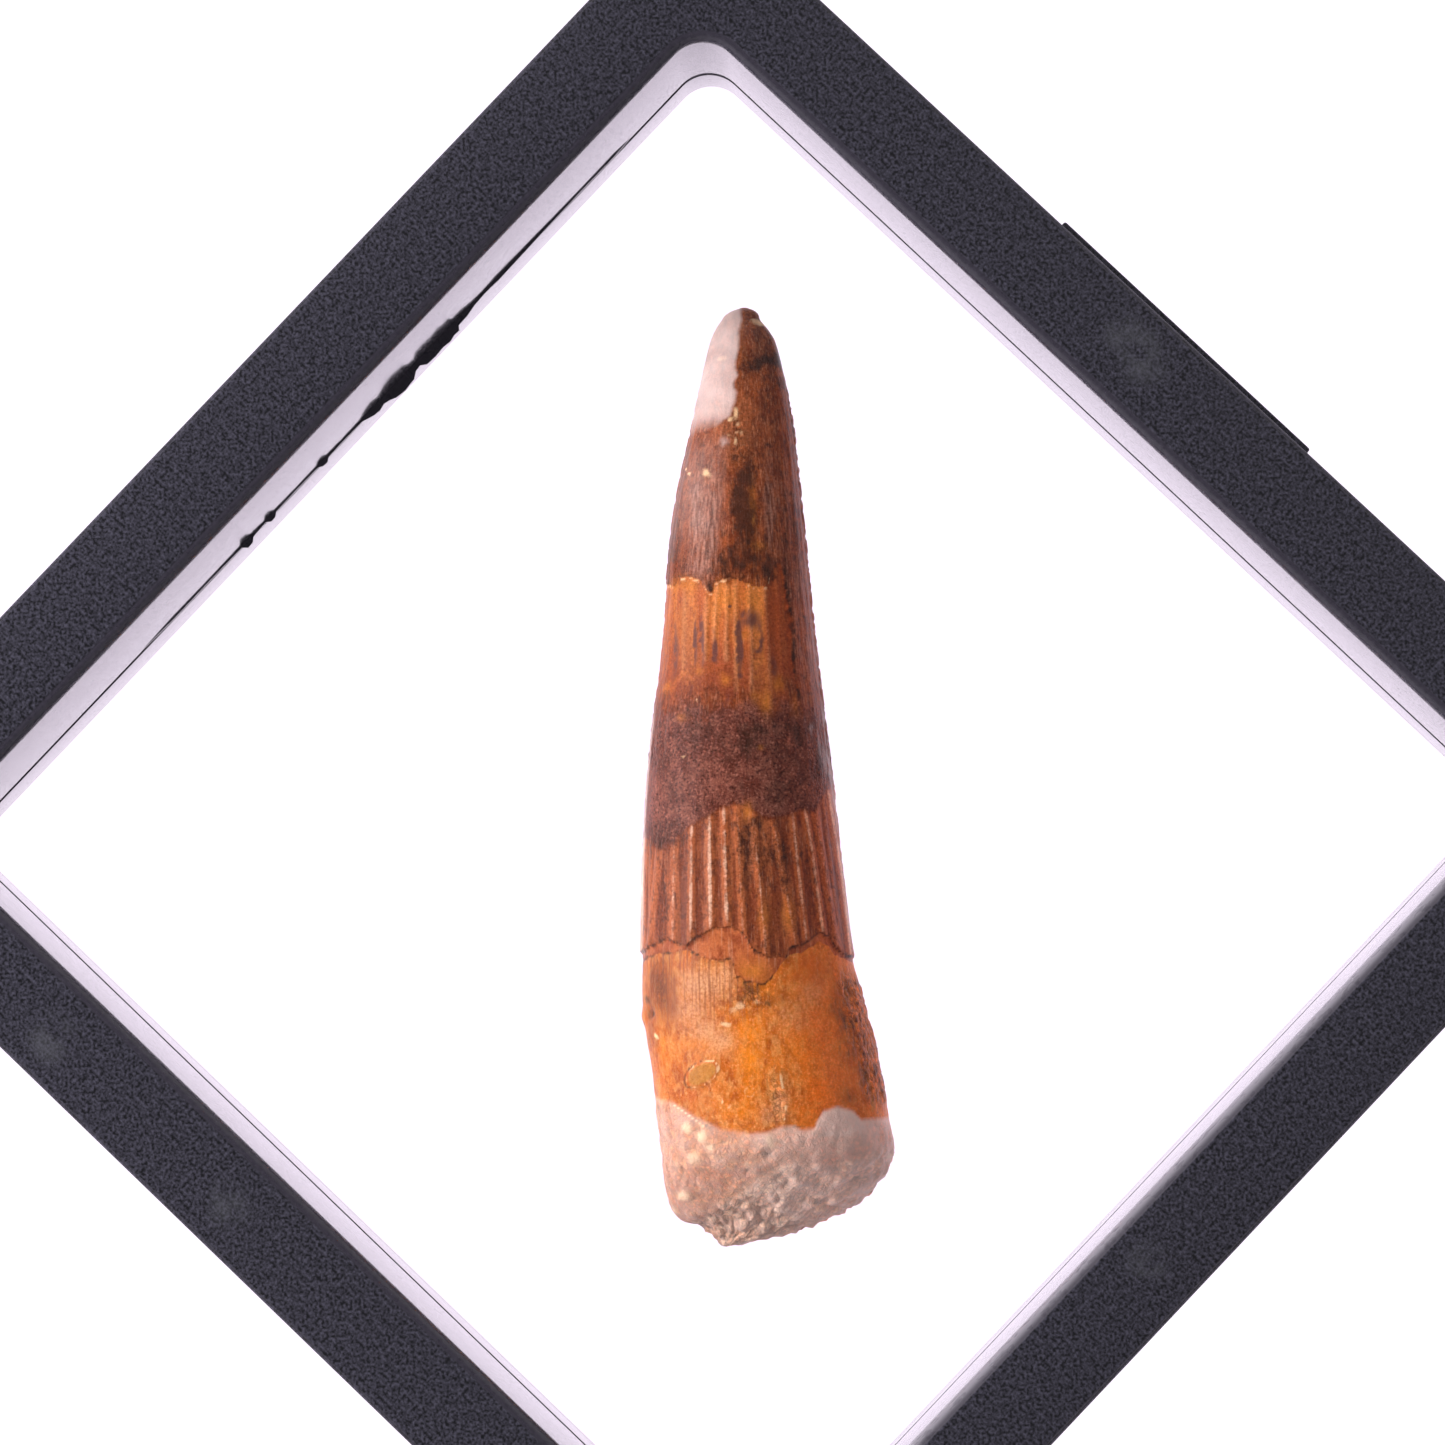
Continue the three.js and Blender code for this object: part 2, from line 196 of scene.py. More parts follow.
def combine(target, tool, operation):
    """Adds the tool to the target, or cuts it away, and removes the tool."""
    modifier = target.modifiers.new("combine", "BOOLEAN")
    modifier.operation = operation
    modifier.solver = "EXACT"
    modifier.object = tool
    graph = bpy.context.evaluated_depsgraph_get()
    joined = bpy.data.meshes.new_from_object(target.evaluated_get(graph))
    target.modifiers.clear()
    old, target.data = target.data, joined
    bpy.data.meshes.remove(old)
    bpy.data.objects.remove(tool)


def smooth_but_sharp(piece, angle=30):
    """Smooth shading that keeps every edge sharper than the angle."""
    piece.data.shade_smooth()
    piece.data.set_sharp_from_angle(angle=math.radians(angle))


def adder(tree):
    """A function that adds a node to an emptied tree and fills its sockets."""
    tree.nodes.clear()

    def add(kind, sockets=(), **settings):
        node = tree.nodes.new("ShaderNode" + kind)
        for key, value in settings.items():
            setattr(node, key, value)
        for key, value in dict(sockets).items():
            socket = node.inputs[key]
            if isinstance(value, bpy.types.NodeSocket):
                tree.links.new(value, socket)
            else:
                socket.default_value = (*value, 1) if socket.type == "RGBA" else value
        return node

    return add


def start_finish(name):
    """An empty node material and the function that adds to it."""
    material = bpy.data.materials.new(name)
    material.use_nodes = True
    return material, adder(material.node_tree)


def speckle(add, place, scale, detail=2.0, roughness=0.5, stretch=None):
    """Grey noise between 0 and 1 at a place, its scale in grains for each unit of the place."""
    if stretch:
        place = add("Mapping", {"Vector": place, "Scale": stretch}).outputs["Vector"]
    return add("TexNoise", {"Vector": place, "Scale": scale, "Detail": detail,
                            "Roughness": roughness}).outputs["Fac"]


def reckon(add, operation, a, b=0.0, c=0.0):
    """One step of arithmetic."""
    return add("Math", {0: a, 1: b, 2: c}, operation=operation).outputs[0]


def times(add, value, *others):
    """Values multiplied together."""
    for other in others:
        value = reckon(add, "MULTIPLY", value, other)
    return value


def spread(add, value, low, high, to_low=0.0, to_high=1.0, curve="SMOOTHSTEP"):
    """The value moved from one range to another and held inside it."""
    return add("MapRange", {"Value": value, "From Min": low, "From Max": high,
                            "To Min": to_low, "To Max": to_high},
               interpolation_type=curve).outputs["Result"]


def tint(add, share, under, over, blend="MIX"):
    """A colour with a share of another over it."""
    return add("Mix", {0: share, 6: under, 7: over}, data_type="RGBA",
               blend_type=blend).outputs[2]


def mix(add, share, first, second):
    """A value with a share of another in it."""
    return add("Mix", {0: share, 2: first, 3: second}).outputs[0]


def surface(add, colour, roughness, height, strength, depth, **constants):
    """The finished surface, with a fine relief that stands up by a depth in metres."""
    bump = add("Bump", {"Strength": strength, "Distance": depth, "Height": height})
    skin = add("BsdfPrincipled", {"Base Color": colour, "Roughness": roughness,
                                  "Normal": bump.outputs["Normal"]})
    for name, value in constants.items():
        skin.inputs[name.replace("_", " ")].default_value = value
    add("OutputMaterial", {"Surface": skin.outputs[0]})


# Places on the case that are rubbed pale: x, y, radius.
RUBBED_SPOTS = [
    (3.5, -51.8, 1.6), (0.8, -51.6, 1.9), (27.4, 51.4, 1.7), (7.4, 51.3, 1.6), (-50.6, 2.6, 1.4),
]
LIP_OUTER_EDGE = 4.1
PLASTIC_IOR = 1.52
SCRATCHED_EDGE_X = -46.7
INK = (0.003, 0.0025, 0.004)


def black_moulding(name):
    """Black moulded plastic: a fine spark texture on the outside, smooth inside the window."""
    material, add = start_finish(name)
    looked_up = add("TexCoord").outputs
    place = looked_up["Object"]
    axes = add("SeparateXYZ", {0: place}).outputs
    facing = add("SeparateXYZ", {0: looked_up["Normal"]}).outputs
    across, along, upright = (
        reckon(add, "ABSOLUTE", value) for value in (axes["X"], axes["Y"], facing["Z"])
    )
    straight = (WINDOW_SIDE / 2 - WINDOW_CORNER_RADIUS) * MM
    over = {
        key: reckon(add, "MAXIMUM", reckon(add, "SUBTRACT", way, straight))
        for key, way in enumerate((across, along))
    }
    from_window = add("VectorMath", {0: add("CombineXYZ", over).outputs[0]},
                      operation="LENGTH").outputs["Value"]
    outside = spread(add, from_window, (LIP_OUTER_EDGE - 0.1) * MM, (LIP_OUTER_EDGE + 0.1) * MM)
    flat = spread(add, upright, 0.9, 0.99)
    reach = reckon(add, "MAXIMUM", across, along)
    side = spread(add, reach, (CASE_SIDE / 2 - 0.4) * MM, (CASE_SIDE / 2 - 0.2) * MM)
    textured = times(add, outside, reckon(add, "MAXIMUM", flat, side))
    grain = speckle(add, place, 3900, 1.0)
    coarse = speckle(add, place, 1700, 2.0, 0.6)
    clouds = speckle(add, place, 260, 4.0, 0.6)
    grit = reckon(add, "MULTIPLY_ADD", coarse, 0.3, times(add, grain, 0.7))
    paleness = spread(add, grit, 0.38, 0.68, curve="LINEAR")
    face_colour = tint(add, paleness, (0.001, 0.0008, 0.004), (0.073, 0.068, 0.1))
    rubbed = 0.0
    for x, y, radius in RUBBED_SPOTS:
        apart = add("VectorMath", {0: place, 1: (x * MM, y * MM, CASE_DEPTH * MM)},
                    operation="DISTANCE").outputs["Value"]
        spot = spread(add, apart, 0.0, 1.7 * radius * MM, 1.0, 0.0)
        rubbed = reckon(add, "MAXIMUM", rubbed, spot)
    rubbed = times(add, rubbed, spread(add, clouds, 0.38, 0.62), 0.7)
    face_colour = tint(add, rubbed, face_colour, (0.1, 0.1, 0.118))
    wall_grain = speckle(add, place, 2600)
    drag = speckle(add, place, 900, stretch=(1.0, 1.0, 6.0))
    wall_colour = tint(add, wall_grain, (0.025, 0.022, 0.034), (0.065, 0.057, 0.08))
    # The window's edge on the -X side is scratched pale.
    middle = SCRATCHED_EDGE_X * MM
    scratched = times(add, spread(add, axes["X"], middle - 0.7 * MM, middle, 0.3, 1.0),
                      spread(add, axes["X"], middle, middle + 0.7 * MM, 1.0, 0.0),
                      spread(add, drag, 0.2, 0.5, 0.5, 1.0))
    wall_colour = tint(add, scratched, wall_colour, (0.3, 0.275, 0.32))
    colour = tint(add, textured, wall_colour, face_colour)
    roughness = mix(add, textured, spread(add, drag, 0.3, 0.7, 0.24, 0.34, "LINEAR"),
                    spread(add, grain, 0.3, 0.7, 0.5, 0.72, "LINEAR"))
    height = reckon(add, "ADD", times(add, textured, grit), times(add, wall_grain, 0.06))
    surface(add, colour, roughness, height, 0.55, 0.12 * MM, IOR=PLASTIC_IOR)
    return material


def smooth_wall(name):
    """The glossier moulded plastic of the window's inner walls, finely dragged by the mould."""
    material, add = start_finish(name)
    place = add("TexCoord").outputs["Object"]
    grain = speckle(add, place, 3600, 2.0, 0.6)
    drag = speckle(add, place, 160, stretch=(1.0, 1.0, 5.0))
    colour = tint(add, grain, INK, (0.03, 0.026, 0.036))
    # A dull dark band along the films' edge, just above the seam: painted shadow of the seam gap.
    up = add("SeparateXYZ", {0: place}).outputs["Z"]
    ragged = reckon(add, "MULTIPLY_ADD", drag, 0.6 * MM, up)
    glued = times(
        add, spread(add, ragged, (SEAM_HEIGHT - 0.1) * MM, SEAM_HEIGHT * MM),
        spread(add, ragged, (SEAM_HEIGHT + 0.7) * MM, (SEAM_HEIGHT + 0.8) * MM, 1.0, 0.0))
    colour = tint(add, glued, colour, INK)
    roughness = reckon(add, "MULTIPLY_ADD", drag, 0.05,
                       spread(add, grain, 0.3, 0.7, 0.16, 0.26, "LINEAR"))
    roughness = reckon(add, "MAXIMUM", roughness, times(add, glued, 0.75))
    surface(add, colour, roughness, grain, 0.06, 0.05 * MM, IOR=PLASTIC_IOR,
            Coat_Weight=1.0, Coat_Roughness=0.12, Coat_IOR=1.5)
    return material


case_black = black_moulding("black_case_plastic")
wall_black = smooth_wall("smooth_wall_plastic")


def finish_half(piece):
    """Textured plastic all over, and the smooth one on the faces of the window's walls."""
    piece.data.materials.clear()
    piece.data.materials.append(case_black)
    piece.data.materials.append(wall_black)
    reach = (WINDOW_SIDE / 2 + 0.02) * MM
    for face in piece.data.polygons:
        across_wall = max(abs(face.center.x), abs(face.center.y)) <= reach
        face.material_index = 1 if across_wall and abs(face.normal.z) < 0.2 else 0


back_half = half_shell("case_back_half", SEAM_HEIGHT, -1)
for group_x in (-HINGE_GROUP_X, HINGE_GROUP_X):
    notch = hinge_bar(group_x, LID_BARREL + 2 * BARREL_GAP, HINGE_RADIUS + BARREL_CLEARANCE)
    combine(back_half, notch, "DIFFERENCE")
    for side in (-1, 1):
        barrel_x = group_x + side * BASE_BARREL_OFFSET
        barrel = hinge_bar(barrel_x, BASE_BARREL, HINGE_RADIUS, BARREL_END_ROUND)
        combine(back_half, barrel, "UNION")
        mouth = group_x + side * (LID_BARREL / 2 + BARREL_GAP)
        bore = hinge_bar(mouth + side * (SOCKET_DEPTH - 1) / 2, SOCKET_DEPTH + 1, SOCKET_RADIUS)
        combine(back_half, bore, "DIFFERENCE")
smooth_but_sharp(back_half)
finish_half(back_half)
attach(back_half, "base")
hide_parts("back_frame")


# The tooth, a fossil cone of brown enamel over an orange root, with sediment in its broken end.
# It grew and fossilised as one piece. Nothing fixes it: it is gripped between the two films.
TOOTH_TIP = (29.2, -32.9)
TOOTH_LENGTH = 80
TOOTH_LOWEST = 0.65
SECTION_ROUNDNESS = 2.2
ENAMEL_STEP = 0.2
EVEN_FLUTES = 26
FLUTE_WIDTH = 0.36
CREST_WIDTH = 0.14
RIDGE_WIDTH = 0.24
CRUMB_SIZE = 0.48
BIG_CRUMB_SIZE = 1.35
# Distance from the tip, left and right edge, underside and top height.
TOOTH_STATIONS = np.array([
    (0, -0.3, 0.3, 7.4, 8), (1, -1.9, 1.3, 6.3, 9), (3, -3, 2.6, 5.5, 9.8),
    (9.7, -4.6, 3.8, 4.3, 11.2), (18, -6.5, 4.5, 3.2, 12.6), (30, -7.9, 5.4, 2.2, 13.8),
    (38, -9, 6.2, 1.7, 14.7), (47, -9.8, 7, 1.2, 15.6), (56, -10.2, 8, 0.9, 16.3),
    (60.5, -10.2, 9.2, 0.8, 16.5), (66, -9.5, 10.2, 0.78, 16.5), (69.5, -9.2, 10.7, 0.78, 16),
    (72, -9, 10.9, 0.8, 15), (75, -8.8, 9.6, 1, 12.3), (77.5, -7.8, 6.7, 1.5, 9.6),
    (79, -5.3, 2.6, 2.3, 8), (80, -4.2, -2.4, 3.4, 6.6),
], float)
RINGS = 372
TOP_TURNS = 172
UNDER_TURNS = 74
# The ragged lines on the upper side, as (across, distance).
UPPER_BREAK = [
    (-8.4, 23.6), (-7.3, 23.6), (-6.4, 24.0), (-6.1, 23.3), (-4.9, 23.4), (-4.0, 23.8),
    (-3.6, 24.6), (-3.2, 24.8), (-2.9, 23.9), (-1.5, 23.6), (-0.4, 24.0), (0.2, 24.4),
    (1.5, 24.4), (1.75, 23.5), (2.1, 22.5), (2.6, 22.4), (2.9, 23.2), (3.1, 24.5), (3.4, 27),
]
# The edge of the strip on the right, as (distance, across).
STRIP_EDGE = [
    (20, 2.7), (22.6, 2.75), (24.5, 3.1), (27.2, 3.5), (30.2, 3.4), (34.1, 4.0), (37.5, 4.2),
    (40, 9),
]
# More lines as (across, distance): the enamel's edge is a double one.
ENAMEL_EDGE = [
    (-10.2, 55.0), (-9.9, 54.8), (-9.1, 54.4), (-7.7, 53.8), (-6.9, 54.3), (-6.0, 54.6),
    (-5.2, 53.9), (-4.2, 53.4), (-3.7, 53.1), (-2.3, 53.1), (-1.3, 53.5), (-0.9, 54.1),
    (-0.4, 55.1), (0.9, 55.7), (2.4, 55.7), (2.6, 55.0), (3.7, 54.7), (4.4, 54.3), (5.2, 53.7),
    (6.0, 54.1), (6.4, 54.9), (7.2, 55.6), (8.2, 55.8),
]
INNER_EDGE = [
    (-10.2, 55.6), (-8.8, 55.1), (-7.3, 55.0), (-6.0, 54.8), (-4.4, 55.6), (-3.3, 55.8),
    (-2.2, 55.6), (-2.0, 57.0), (-1.1, 57.6), (0.5, 57.9), (1.2, 57.2), (2.0, 56.2), (2.6, 55.5),
    (3.7, 55.3), (4.4, 54.9), (5.2, 54.4), (6.0, 54.8), (6.4, 55.5), (8.2, 56.3),
]
FLUTE_TOPS = [
    (-10.2, 44.5), (-8.4, 46.0), (-7.0, 45.7), (-5.3, 44.3), (-3.8, 43.6), (-2.6, 42.9),
    (-1.5, 42.5), (0.0, 43.4), (1.6, 44.0), (3.1, 43.7), (4.1, 43.1), (4.9, 43.5), (6.1, 41.5),
    (8.2, 39.0),
]
# Each flute's crest as (distance, across) points, and how strong its painted highlight is.
FLUTE_CRESTS = [
    ([(41, -9.2), (46, -9.6), (57.5, -10.1)], 0.7),
    ([(44, -8.0), (48.1, -8.4), (57.5, -9.7)], 0.25),
    ([(45, -6.8), (52.7, -7.1), (57.5, -7.3)], 0.5),
    ([(44, -5.3), (53.5, -5.6), (57.5, -5.7)], 0.9),
    ([(43, -3.8), (52.6, -3.9), (57.5, -4.0)], 1.0), ([(42.6, -2.6), (57.5, -2.5)], 0.9),
    ([(42, -1.5), (53.3, -1.2), (57.5, -1.1)], 0.5),
    ([(43, -0.2), (54.2, 0.6), (57.5, 0.8)], 0.5),
    ([(43.5, 1.4), (53.8, 3.0), (57.5, 3.6)], 0.45),
    ([(43.5, 3.1), (47.3, 3.4), (57.5, 4.3)], 0.8), ([(43, 4.1), (47.3, 4.7), (57.5, 5.8)], 0.9),
    ([(43, 4.9), (53.1, 6.3), (57.5, 7)], 0.35), ([(41, 6.0), (48.6, 7.0), (57.5, 7.8)], 0.8),
]
# The amber zone's fine ridges, as (distance, across) points.
AMBER_RIDGES = [
    [(24.3, -5.6), (31, -5.8)], [(25.3, -3.7), (30.5, -3.9)], [(24, -2.7), (28.9, -3.1)],
    [(24.3, -1.9), (30.6, -2.1)], [(24.1, -1.2), (33.2, -1.3)], [(24.7, 0), (34.1, 0)],
    [(24.7, 1.3), (34.5, 1.6)], [(23, 2.3), (34.1, 2.7)],
]
# Where the film leaves the base, which also bounds the painted reflection of the film there, and
# the rim of the broken end, as (across, distance).
DRY_BASE_LINE = [
    (-9.6, 67.0), (-9.2, 67.2), (-7.5, 67.6), (-5.7, 68.8), (-3.5, 69.9), (-1.0, 70.3),
    (0.4, 70.2), (1.8, 69.7), (2.6, 69.7), (3.3, 70.1), (4.3, 70.0), (4.7, 69.1), (5.1, 68.6),
    (6.3, 68.2), (7.6, 68.6), (8.3, 69.4), (10.5, 69.3),
]
FACE_LINE = [
    (-8, 78.6), (-5.7, 77.7), (-4.4, 76.7), (-2.6, 75.4), (-0.4, 74.2), (1.1, 73.2), (3.0, 73.0),
    (5.5, 73.1), (8.0, 72.7), (10.8, 72.0),
]
# The edge of the painted reflection of the film on the left of the tip, where the film doesn't
# touch, as (distance, across).
DRY_TIP_LINE = [
    (-0.5, -0.3), (0.2, -0.3), (1.3, -0.2), (2.0, -0.4), (3.7, -0.5), (4.8, -0.8), (5.6, -0.8),
    (6.2, -0.6), (6.7, -1.0), (7.2, -1.0), (7.6, -0.7), (8.4, -0.9), (9.1, -1.2), (9.7, -1.3),
    (10.0, -1.9), (10.4, -2.3), (11.2, -3.6),
]
# A crack and a seam, the same way.
DARK_CRACK = [(22.8, 2.9), (25.6, 3.3), (28.8, 3.6), (32, 3.6), (35, 4.1)]
PALE_SEAM = [(65.2, 1.6), (66.7, 1.8), (67.9, 2.0), (69.8, 1.8)]
# Soft oval marks as (distance, across, length, width, strength).
HOLES = [
    (72.2, 0.3, 0.35, 0.42, 1), (73.6, -1.5, 0.18, 0.22, 0.8), (37.6, -0.4, 0.8, 0.5, 0.6),
    (60.2, -9.4, 0.5, 0.3, 0.8),
]
SLATE_SPOTS = [
    (18, -4.2, 3.4, 0.7, 0.85), (20.5, -3.2, 3, 0.5, 0.6), (16, -2.6, 3.5, 0.6, 0.45),
    (18, 1.9, 4, 0.5, 0.45), (18, 3.2, 4, 0.5, 0.3), (22.6, -4.4, 1.0, 0.9, 0.5),
]
DARK_MARKS = [
    (4.9, 1.6, 0.38, 1.3, 0.95), (5.4, 0.6, 0.38, 0.55, 0.85), (4.4, 2.7, 0.5, 0.5, 0.8),
    (6.9, 2.9, 0.85, 0.43, 0.35), (13.5, -1, 0.34, 0.51, 0.6), (13.8, 0.2, 0.43, 0.34, 0.6),
    (12.3, 2, 0.13, 0.34, 0.9), (15.3, -0.2, 0.9, 0.62, 0.95), (17, -0.5, 1.15, 0.62, 1.0),
    (18.7, -0.1, 1.15, 0.7, 0.9), (20, 0.3, 0.68, 0.43, 0.6), (18, -0.9, 1.19, 0.34, 0.7),
    (20.9, -0.4, 0.68, 0.85, 0.45), (22.1, -1.2, 0.85, 1.53, 0.55), (22.3, 0.5, 0.85, 1.36, 0.6),
    (23.2, 1.6, 0.68, 0.68, 0.6), (23.1, -2.3, 0.68, 0.85, 0.4), (21.4, -6.4, 1.36, 0.68, 0.45),
    (24, -3.9, 0.34, 0.51, 0.5), (24.5, -3.3, 0.43, 0.34, 0.6), (17.3, 3.8, 1.53, 0.43, 0.5),
    (19.6, 3.2, 1.7, 0.51, 0.35), (22.1, 4, 1.7, 0.43, 0.3), (18.3, -6.2, 1.19, 0.34, 0.35),
    (17.2, -4.8, 1.19, 0.43, 0.3), (20.4, -6.6, 1.02, 0.34, 0.4), (37.2, -0.2, 0.85, 1.02, 0.7),
    (38.5, -0.7, 0.68, 0.68, 0.6), (36.5, 0.6, 0.34, 0.77, 0.6), (36.5, -4.4, 0.68, 1.19, 0.4),
    (37.5, -2.9, 0.43, 0.68, 0.4), (40.2, -2.9, 0.26, 0.34, 0.5), (39.1, -2.1, 0.26, 0.43, 0.5),
    (36.4, 3.1, 0.34, 0.43, 0.6), (37.1, 3.9, 0.85, 0.51, 0.5), (39.1, 5.5, 1.19, 0.43, 0.5),
    (39.2, -7.5, 0.85, 0.68, 0.45), (41.4, -6.9, 0.85, 0.51, 0.35), (42.1, 1.7, 0.68, 1.19, 0.5),
    (41.6, -1.2, 0.68, 0.85, 0.4), (35.1, -5.3, 0.51, 0.68, 0.35), (45.1, -7.4, 0.85, 1.36, 0.4),
    (46, -8.1, 0.68, 0.68, 0.35), (44.5, -8.8, 0.68, 0.51, 0.35), (45, -0.8, 0.85, 0.85, 0.5),
    (46.7, -0.5, 1.19, 0.68, 0.42), (49.2, -0.8, 1.36, 0.51, 0.45), (46.9, 1, 0.68, 0.51, 0.5),
    (47.2, 2.5, 0.68, 0.51, 0.55), (49.3, 2.2, 0.68, 0.34, 0.6), (44.4, 0.3, 0.34, 0.43, 0.5),
    (46, -3.4, 0.68, 0.43, 0.4), (46.6, -2.6, 0.51, 0.34, 0.4), (47.4, -5.5, 0.85, 0.34, 0.3),
    (51.9, -7.9, 1.02, 0.34, 0.35), (46.3, 3.7, 0.85, 0.34, 0.4), (48.4, 4.6, 1.19, 0.34, 0.35),
    (49.3, 5.9, 1.19, 0.34, 0.4), (57.7, -8.8, 1.36, 0.6, 0.15), (60.2, -9.4, 0.34, 0.2, 0.9),
    (59, -9.7, 0.34, 0.2, 0.7), (62.3, -8.9, 0.85, 0.17, 0.4), (58.2, -0.6, 0.43, 0.68, 0.5),
    (59.5, 0.7, 0.34, 0.6, 0.5), (59.1, -1.6, 0.34, 0.34, 0.4), (59.3, 6.3, 0.9, 0.35, 0.45),
    (61, 7.1, 0.9, 0.45, 0.5), (63.5, 7.9, 0.9, 0.4, 0.45), (65.7, 8.7, 0.8, 0.35, 0.5),
    (58.1, 7.6, 0.7, 0.3, 0.4), (63.5, 6.7, 0.6, 0.3, 0.3), (67.4, 7.2, 0.5, 0.45, 0.35),
    (69.9, 2.8, 0.13, 0.6, 0.7), (70.5, 5.7, 0.1, 1.11, 0.6), (69.4, -4.1, 0.17, 0.43, 0.6),
    (72.2, 0.3, 0.34, 0.38, 0.9), (73.6, -1.5, 0.15, 0.19, 0.8),
]
CREAM_MARKS = [
    (1.6, 1.4, 0.21, 0.51, 0.9), (1.3, 0.9, 0.17, 0.34, 0.6), (4.6, -2.1, 0.21, 0.3, 0.7),
    (3.5, -2.8, 0.17, 0.17, 0.5), (5.7, -3.2, 0.26, 0.17, 0.5), (8.3, -3.7, 0.26, 0.26, 0.4),
    (4.4, -1.7, 0.17, 0.21, 0.5), (9.4, -0.8, 0.34, 0.21, 0.9), (9.9, -1.3, 0.17, 0.26, 0.8),
    (11.9, -0.9, 0.34, 0.15, 0.8), (11.2, -0.4, 0.26, 0.26, 0.5), (10.5, -0.7, 0.17, 0.17, 0.7),
    (11.4, -1.5, 0.17, 0.17, 0.5), (12.3, -0.1, 0.17, 0.17, 0.4), (14, -5.2, 0.1, 0.1, 1),
    (14.4, -4.8, 0.13, 0.13, 1), (14.4, -3.5, 0.19, 0.3, 0.9), (14.7, -3.1, 0.17, 0.26, 0.4),
    (34, -4.7, 0.12, 0.12, 0.8), (38.7, -5.9, 0.14, 0.14, 0.9), (61.1, -2.9, 0.17, 0.38, 1),
    (67.5, -3.4, 0.17, 0.17, 0.9), (68, -2.8, 0.17, 0.17, 0.7), (62, -9, 0.26, 0.17, 0.8),
    (59.6, -1.6, 0.34, 0.43, 0.6), (60, -2.2, 0.26, 0.51, 0.5), (59.2, -0.2, 0.26, 0.34, 0.5),
    (69.7, -6.5, 0.43, 0.43, 0.8), (70.4, -5.2, 0.51, 0.51, 0.8), (72.3, -6, 0.6, 0.6, 0.75),
    (71.5, -4.5, 0.43, 0.43, 0.7), (75.6, -7.1, 0.43, 0.68, 0.8), (76.9, -8.1, 0.34, 0.43, 0.6),
    (71, 0.6, 0.6, 0.43, 0.8), (72.9, -1.5, 0.34, 0.34, 0.5), (72.6, 10.6, 0.26, 0.26, 0.8),
    (72, 6.2, 0.17, 0.26, 0.6),
]
PURPLE_MARKS = [
    (28.7, -4.7, 2.04, 0.17, 0.9), (28.7, -4.1, 2.04, 0.19, 0.9), (29.6, -3.1, 1.36, 0.26, 0.9),
    (29.2, -1, 2.04, 0.26, 1), (29.9, -0.8, 0.94, 0.21, 0.8), (29, 0.9, 1.11, 0.17, 0.8),
    (30, 0.5, 0.21, 0.34, 0.8), (26.1, -1.6, 0.14, 0.14, 0.9), (31.9, -0.9, 0.19, 0.19, 0.9),
    (29.5, -6.5, 2.55, 0.26, 0.7), (27.3, 0.1, 0.85, 0.77, 0.7), (26.8, -0.2, 0.43, 0.51, 0.5),
    (33, -5.2, 1.02, 0.34, 0.4), (31.5, 2, 1.19, 0.34, 0.5), (34, -2.1, 1.19, 0.51, 0.4),
]
GLOW_MARKS = [
    (24, -6.6, 0.43, 0.43, 0.8), (23.8, -5.6, 0.51, 0.6, 0.9), (24.1, -5, 0.51, 0.51, 0.8),
    (25.4, -1.8, 1.36, 1.02, 0.7), (25.6, 0.2, 1.19, 0.68, 0.6), (32.3, -2.2, 0.43, 0.43, 0.9),
    (31.4, -4.4, 0.34, 0.34, 0.8), (34.3, 1.2, 1.02, 0.43, 0.8), (32.7, 2.2, 0.68, 0.43, 0.7),
    (33.9, 0.3, 0.51, 0.34, 0.6), (34.5, 3.6, 0.85, 0.34, 0.5), (32.6, -7.3, 0.43, 0.43, 0.8),
    (35.3, -6, 0.34, 0.34, 0.7), (28.6, -0.9, 0.43, 0.68, 0.6), (38.1, 0.6, 0.17, 0.26, 1),
    (20.9, 0.8, 0.43, 0.51, 0.6), (17.5, 0.4, 2.04, 0.34, 0.5), (43.5, -0.6, 0.68, 0.43, 0.7),
    (52.2, 2.6, 1.36, 0.51, 0.7), (52.4, 0.6, 1.19, 0.43, 0.5), (56.7, -0.5, 0.85, 1.36, 0.9),
    (58, 0.5, 0.68, 0.85, 0.7), (64.1, -0.9, 3.74, 0.77, 0.9), (61.7, -0.7, 1.02, 1.02, 0.7),
    (63.4, -1.9, 0.51, 0.68, 0.8), (63, -5.1, 0.85, 1.36, 0.4), (63.1, -8.3, 1.87, 0.51, 0.6),
    (63, 3.3, 1.7, 2.04, 0.35), (68.4, -1.7, 1.02, 1.36, 0.5), (57.2, 3.4, 0.85, 1.02, 0.5),
    (68, 9.1, 0.85, 0.34, 0.7), (66.8, 5.2, 0.85, 0.85, 0.4),
]
PEACH_MARKS = [
    (57.8, -4.7, 1.36, 2.21, 0.9), (60, -5.8, 1.19, 1.7, 0.6), (62.6, -3.5, 1.02, 1.36, 0.8),
    (61.6, -4.6, 0.85, 1.19, 0.7), (57, -2.8, 1.02, 1.02, 0.7), (60.9, 2.9, 1.36, 1.53, 0.3),
    (56.3, 0.1, 0.43, 0.51, 0.3), (67.9, 1.5, 1.36, 0.68, 0.6), (68.7, 0.2, 0.85, 0.85, 0.4),
    (58.5, 4.6, 0.85, 1.19, 0.4),
]
RUST_MARKS = [
    (57.7, -8.3, 2.6, 1.2, 0.95), (56.6, 5.2, 1.5, 2.4, 0.5), (59.8, -7.7, 1.19, 0.68, 0.5),
    (62.7, 8.1, 3.4, 1.02, 0.8), (66.5, 9, 1.7, 0.68, 0.6), (59.4, 6.9, 2.04, 0.85, 0.7),
    (67.4, 7.3, 0.77, 0.77, 0.6), (59.2, 1.3, 0.43, 1.19, 0.4), (58.5, -1.2, 0.51, 0.85, 0.5),
    (61.4, -9.4, 1.7, 0.34, 0.5), (27, -5.9, 3.4, 1.2, 0.34),
]
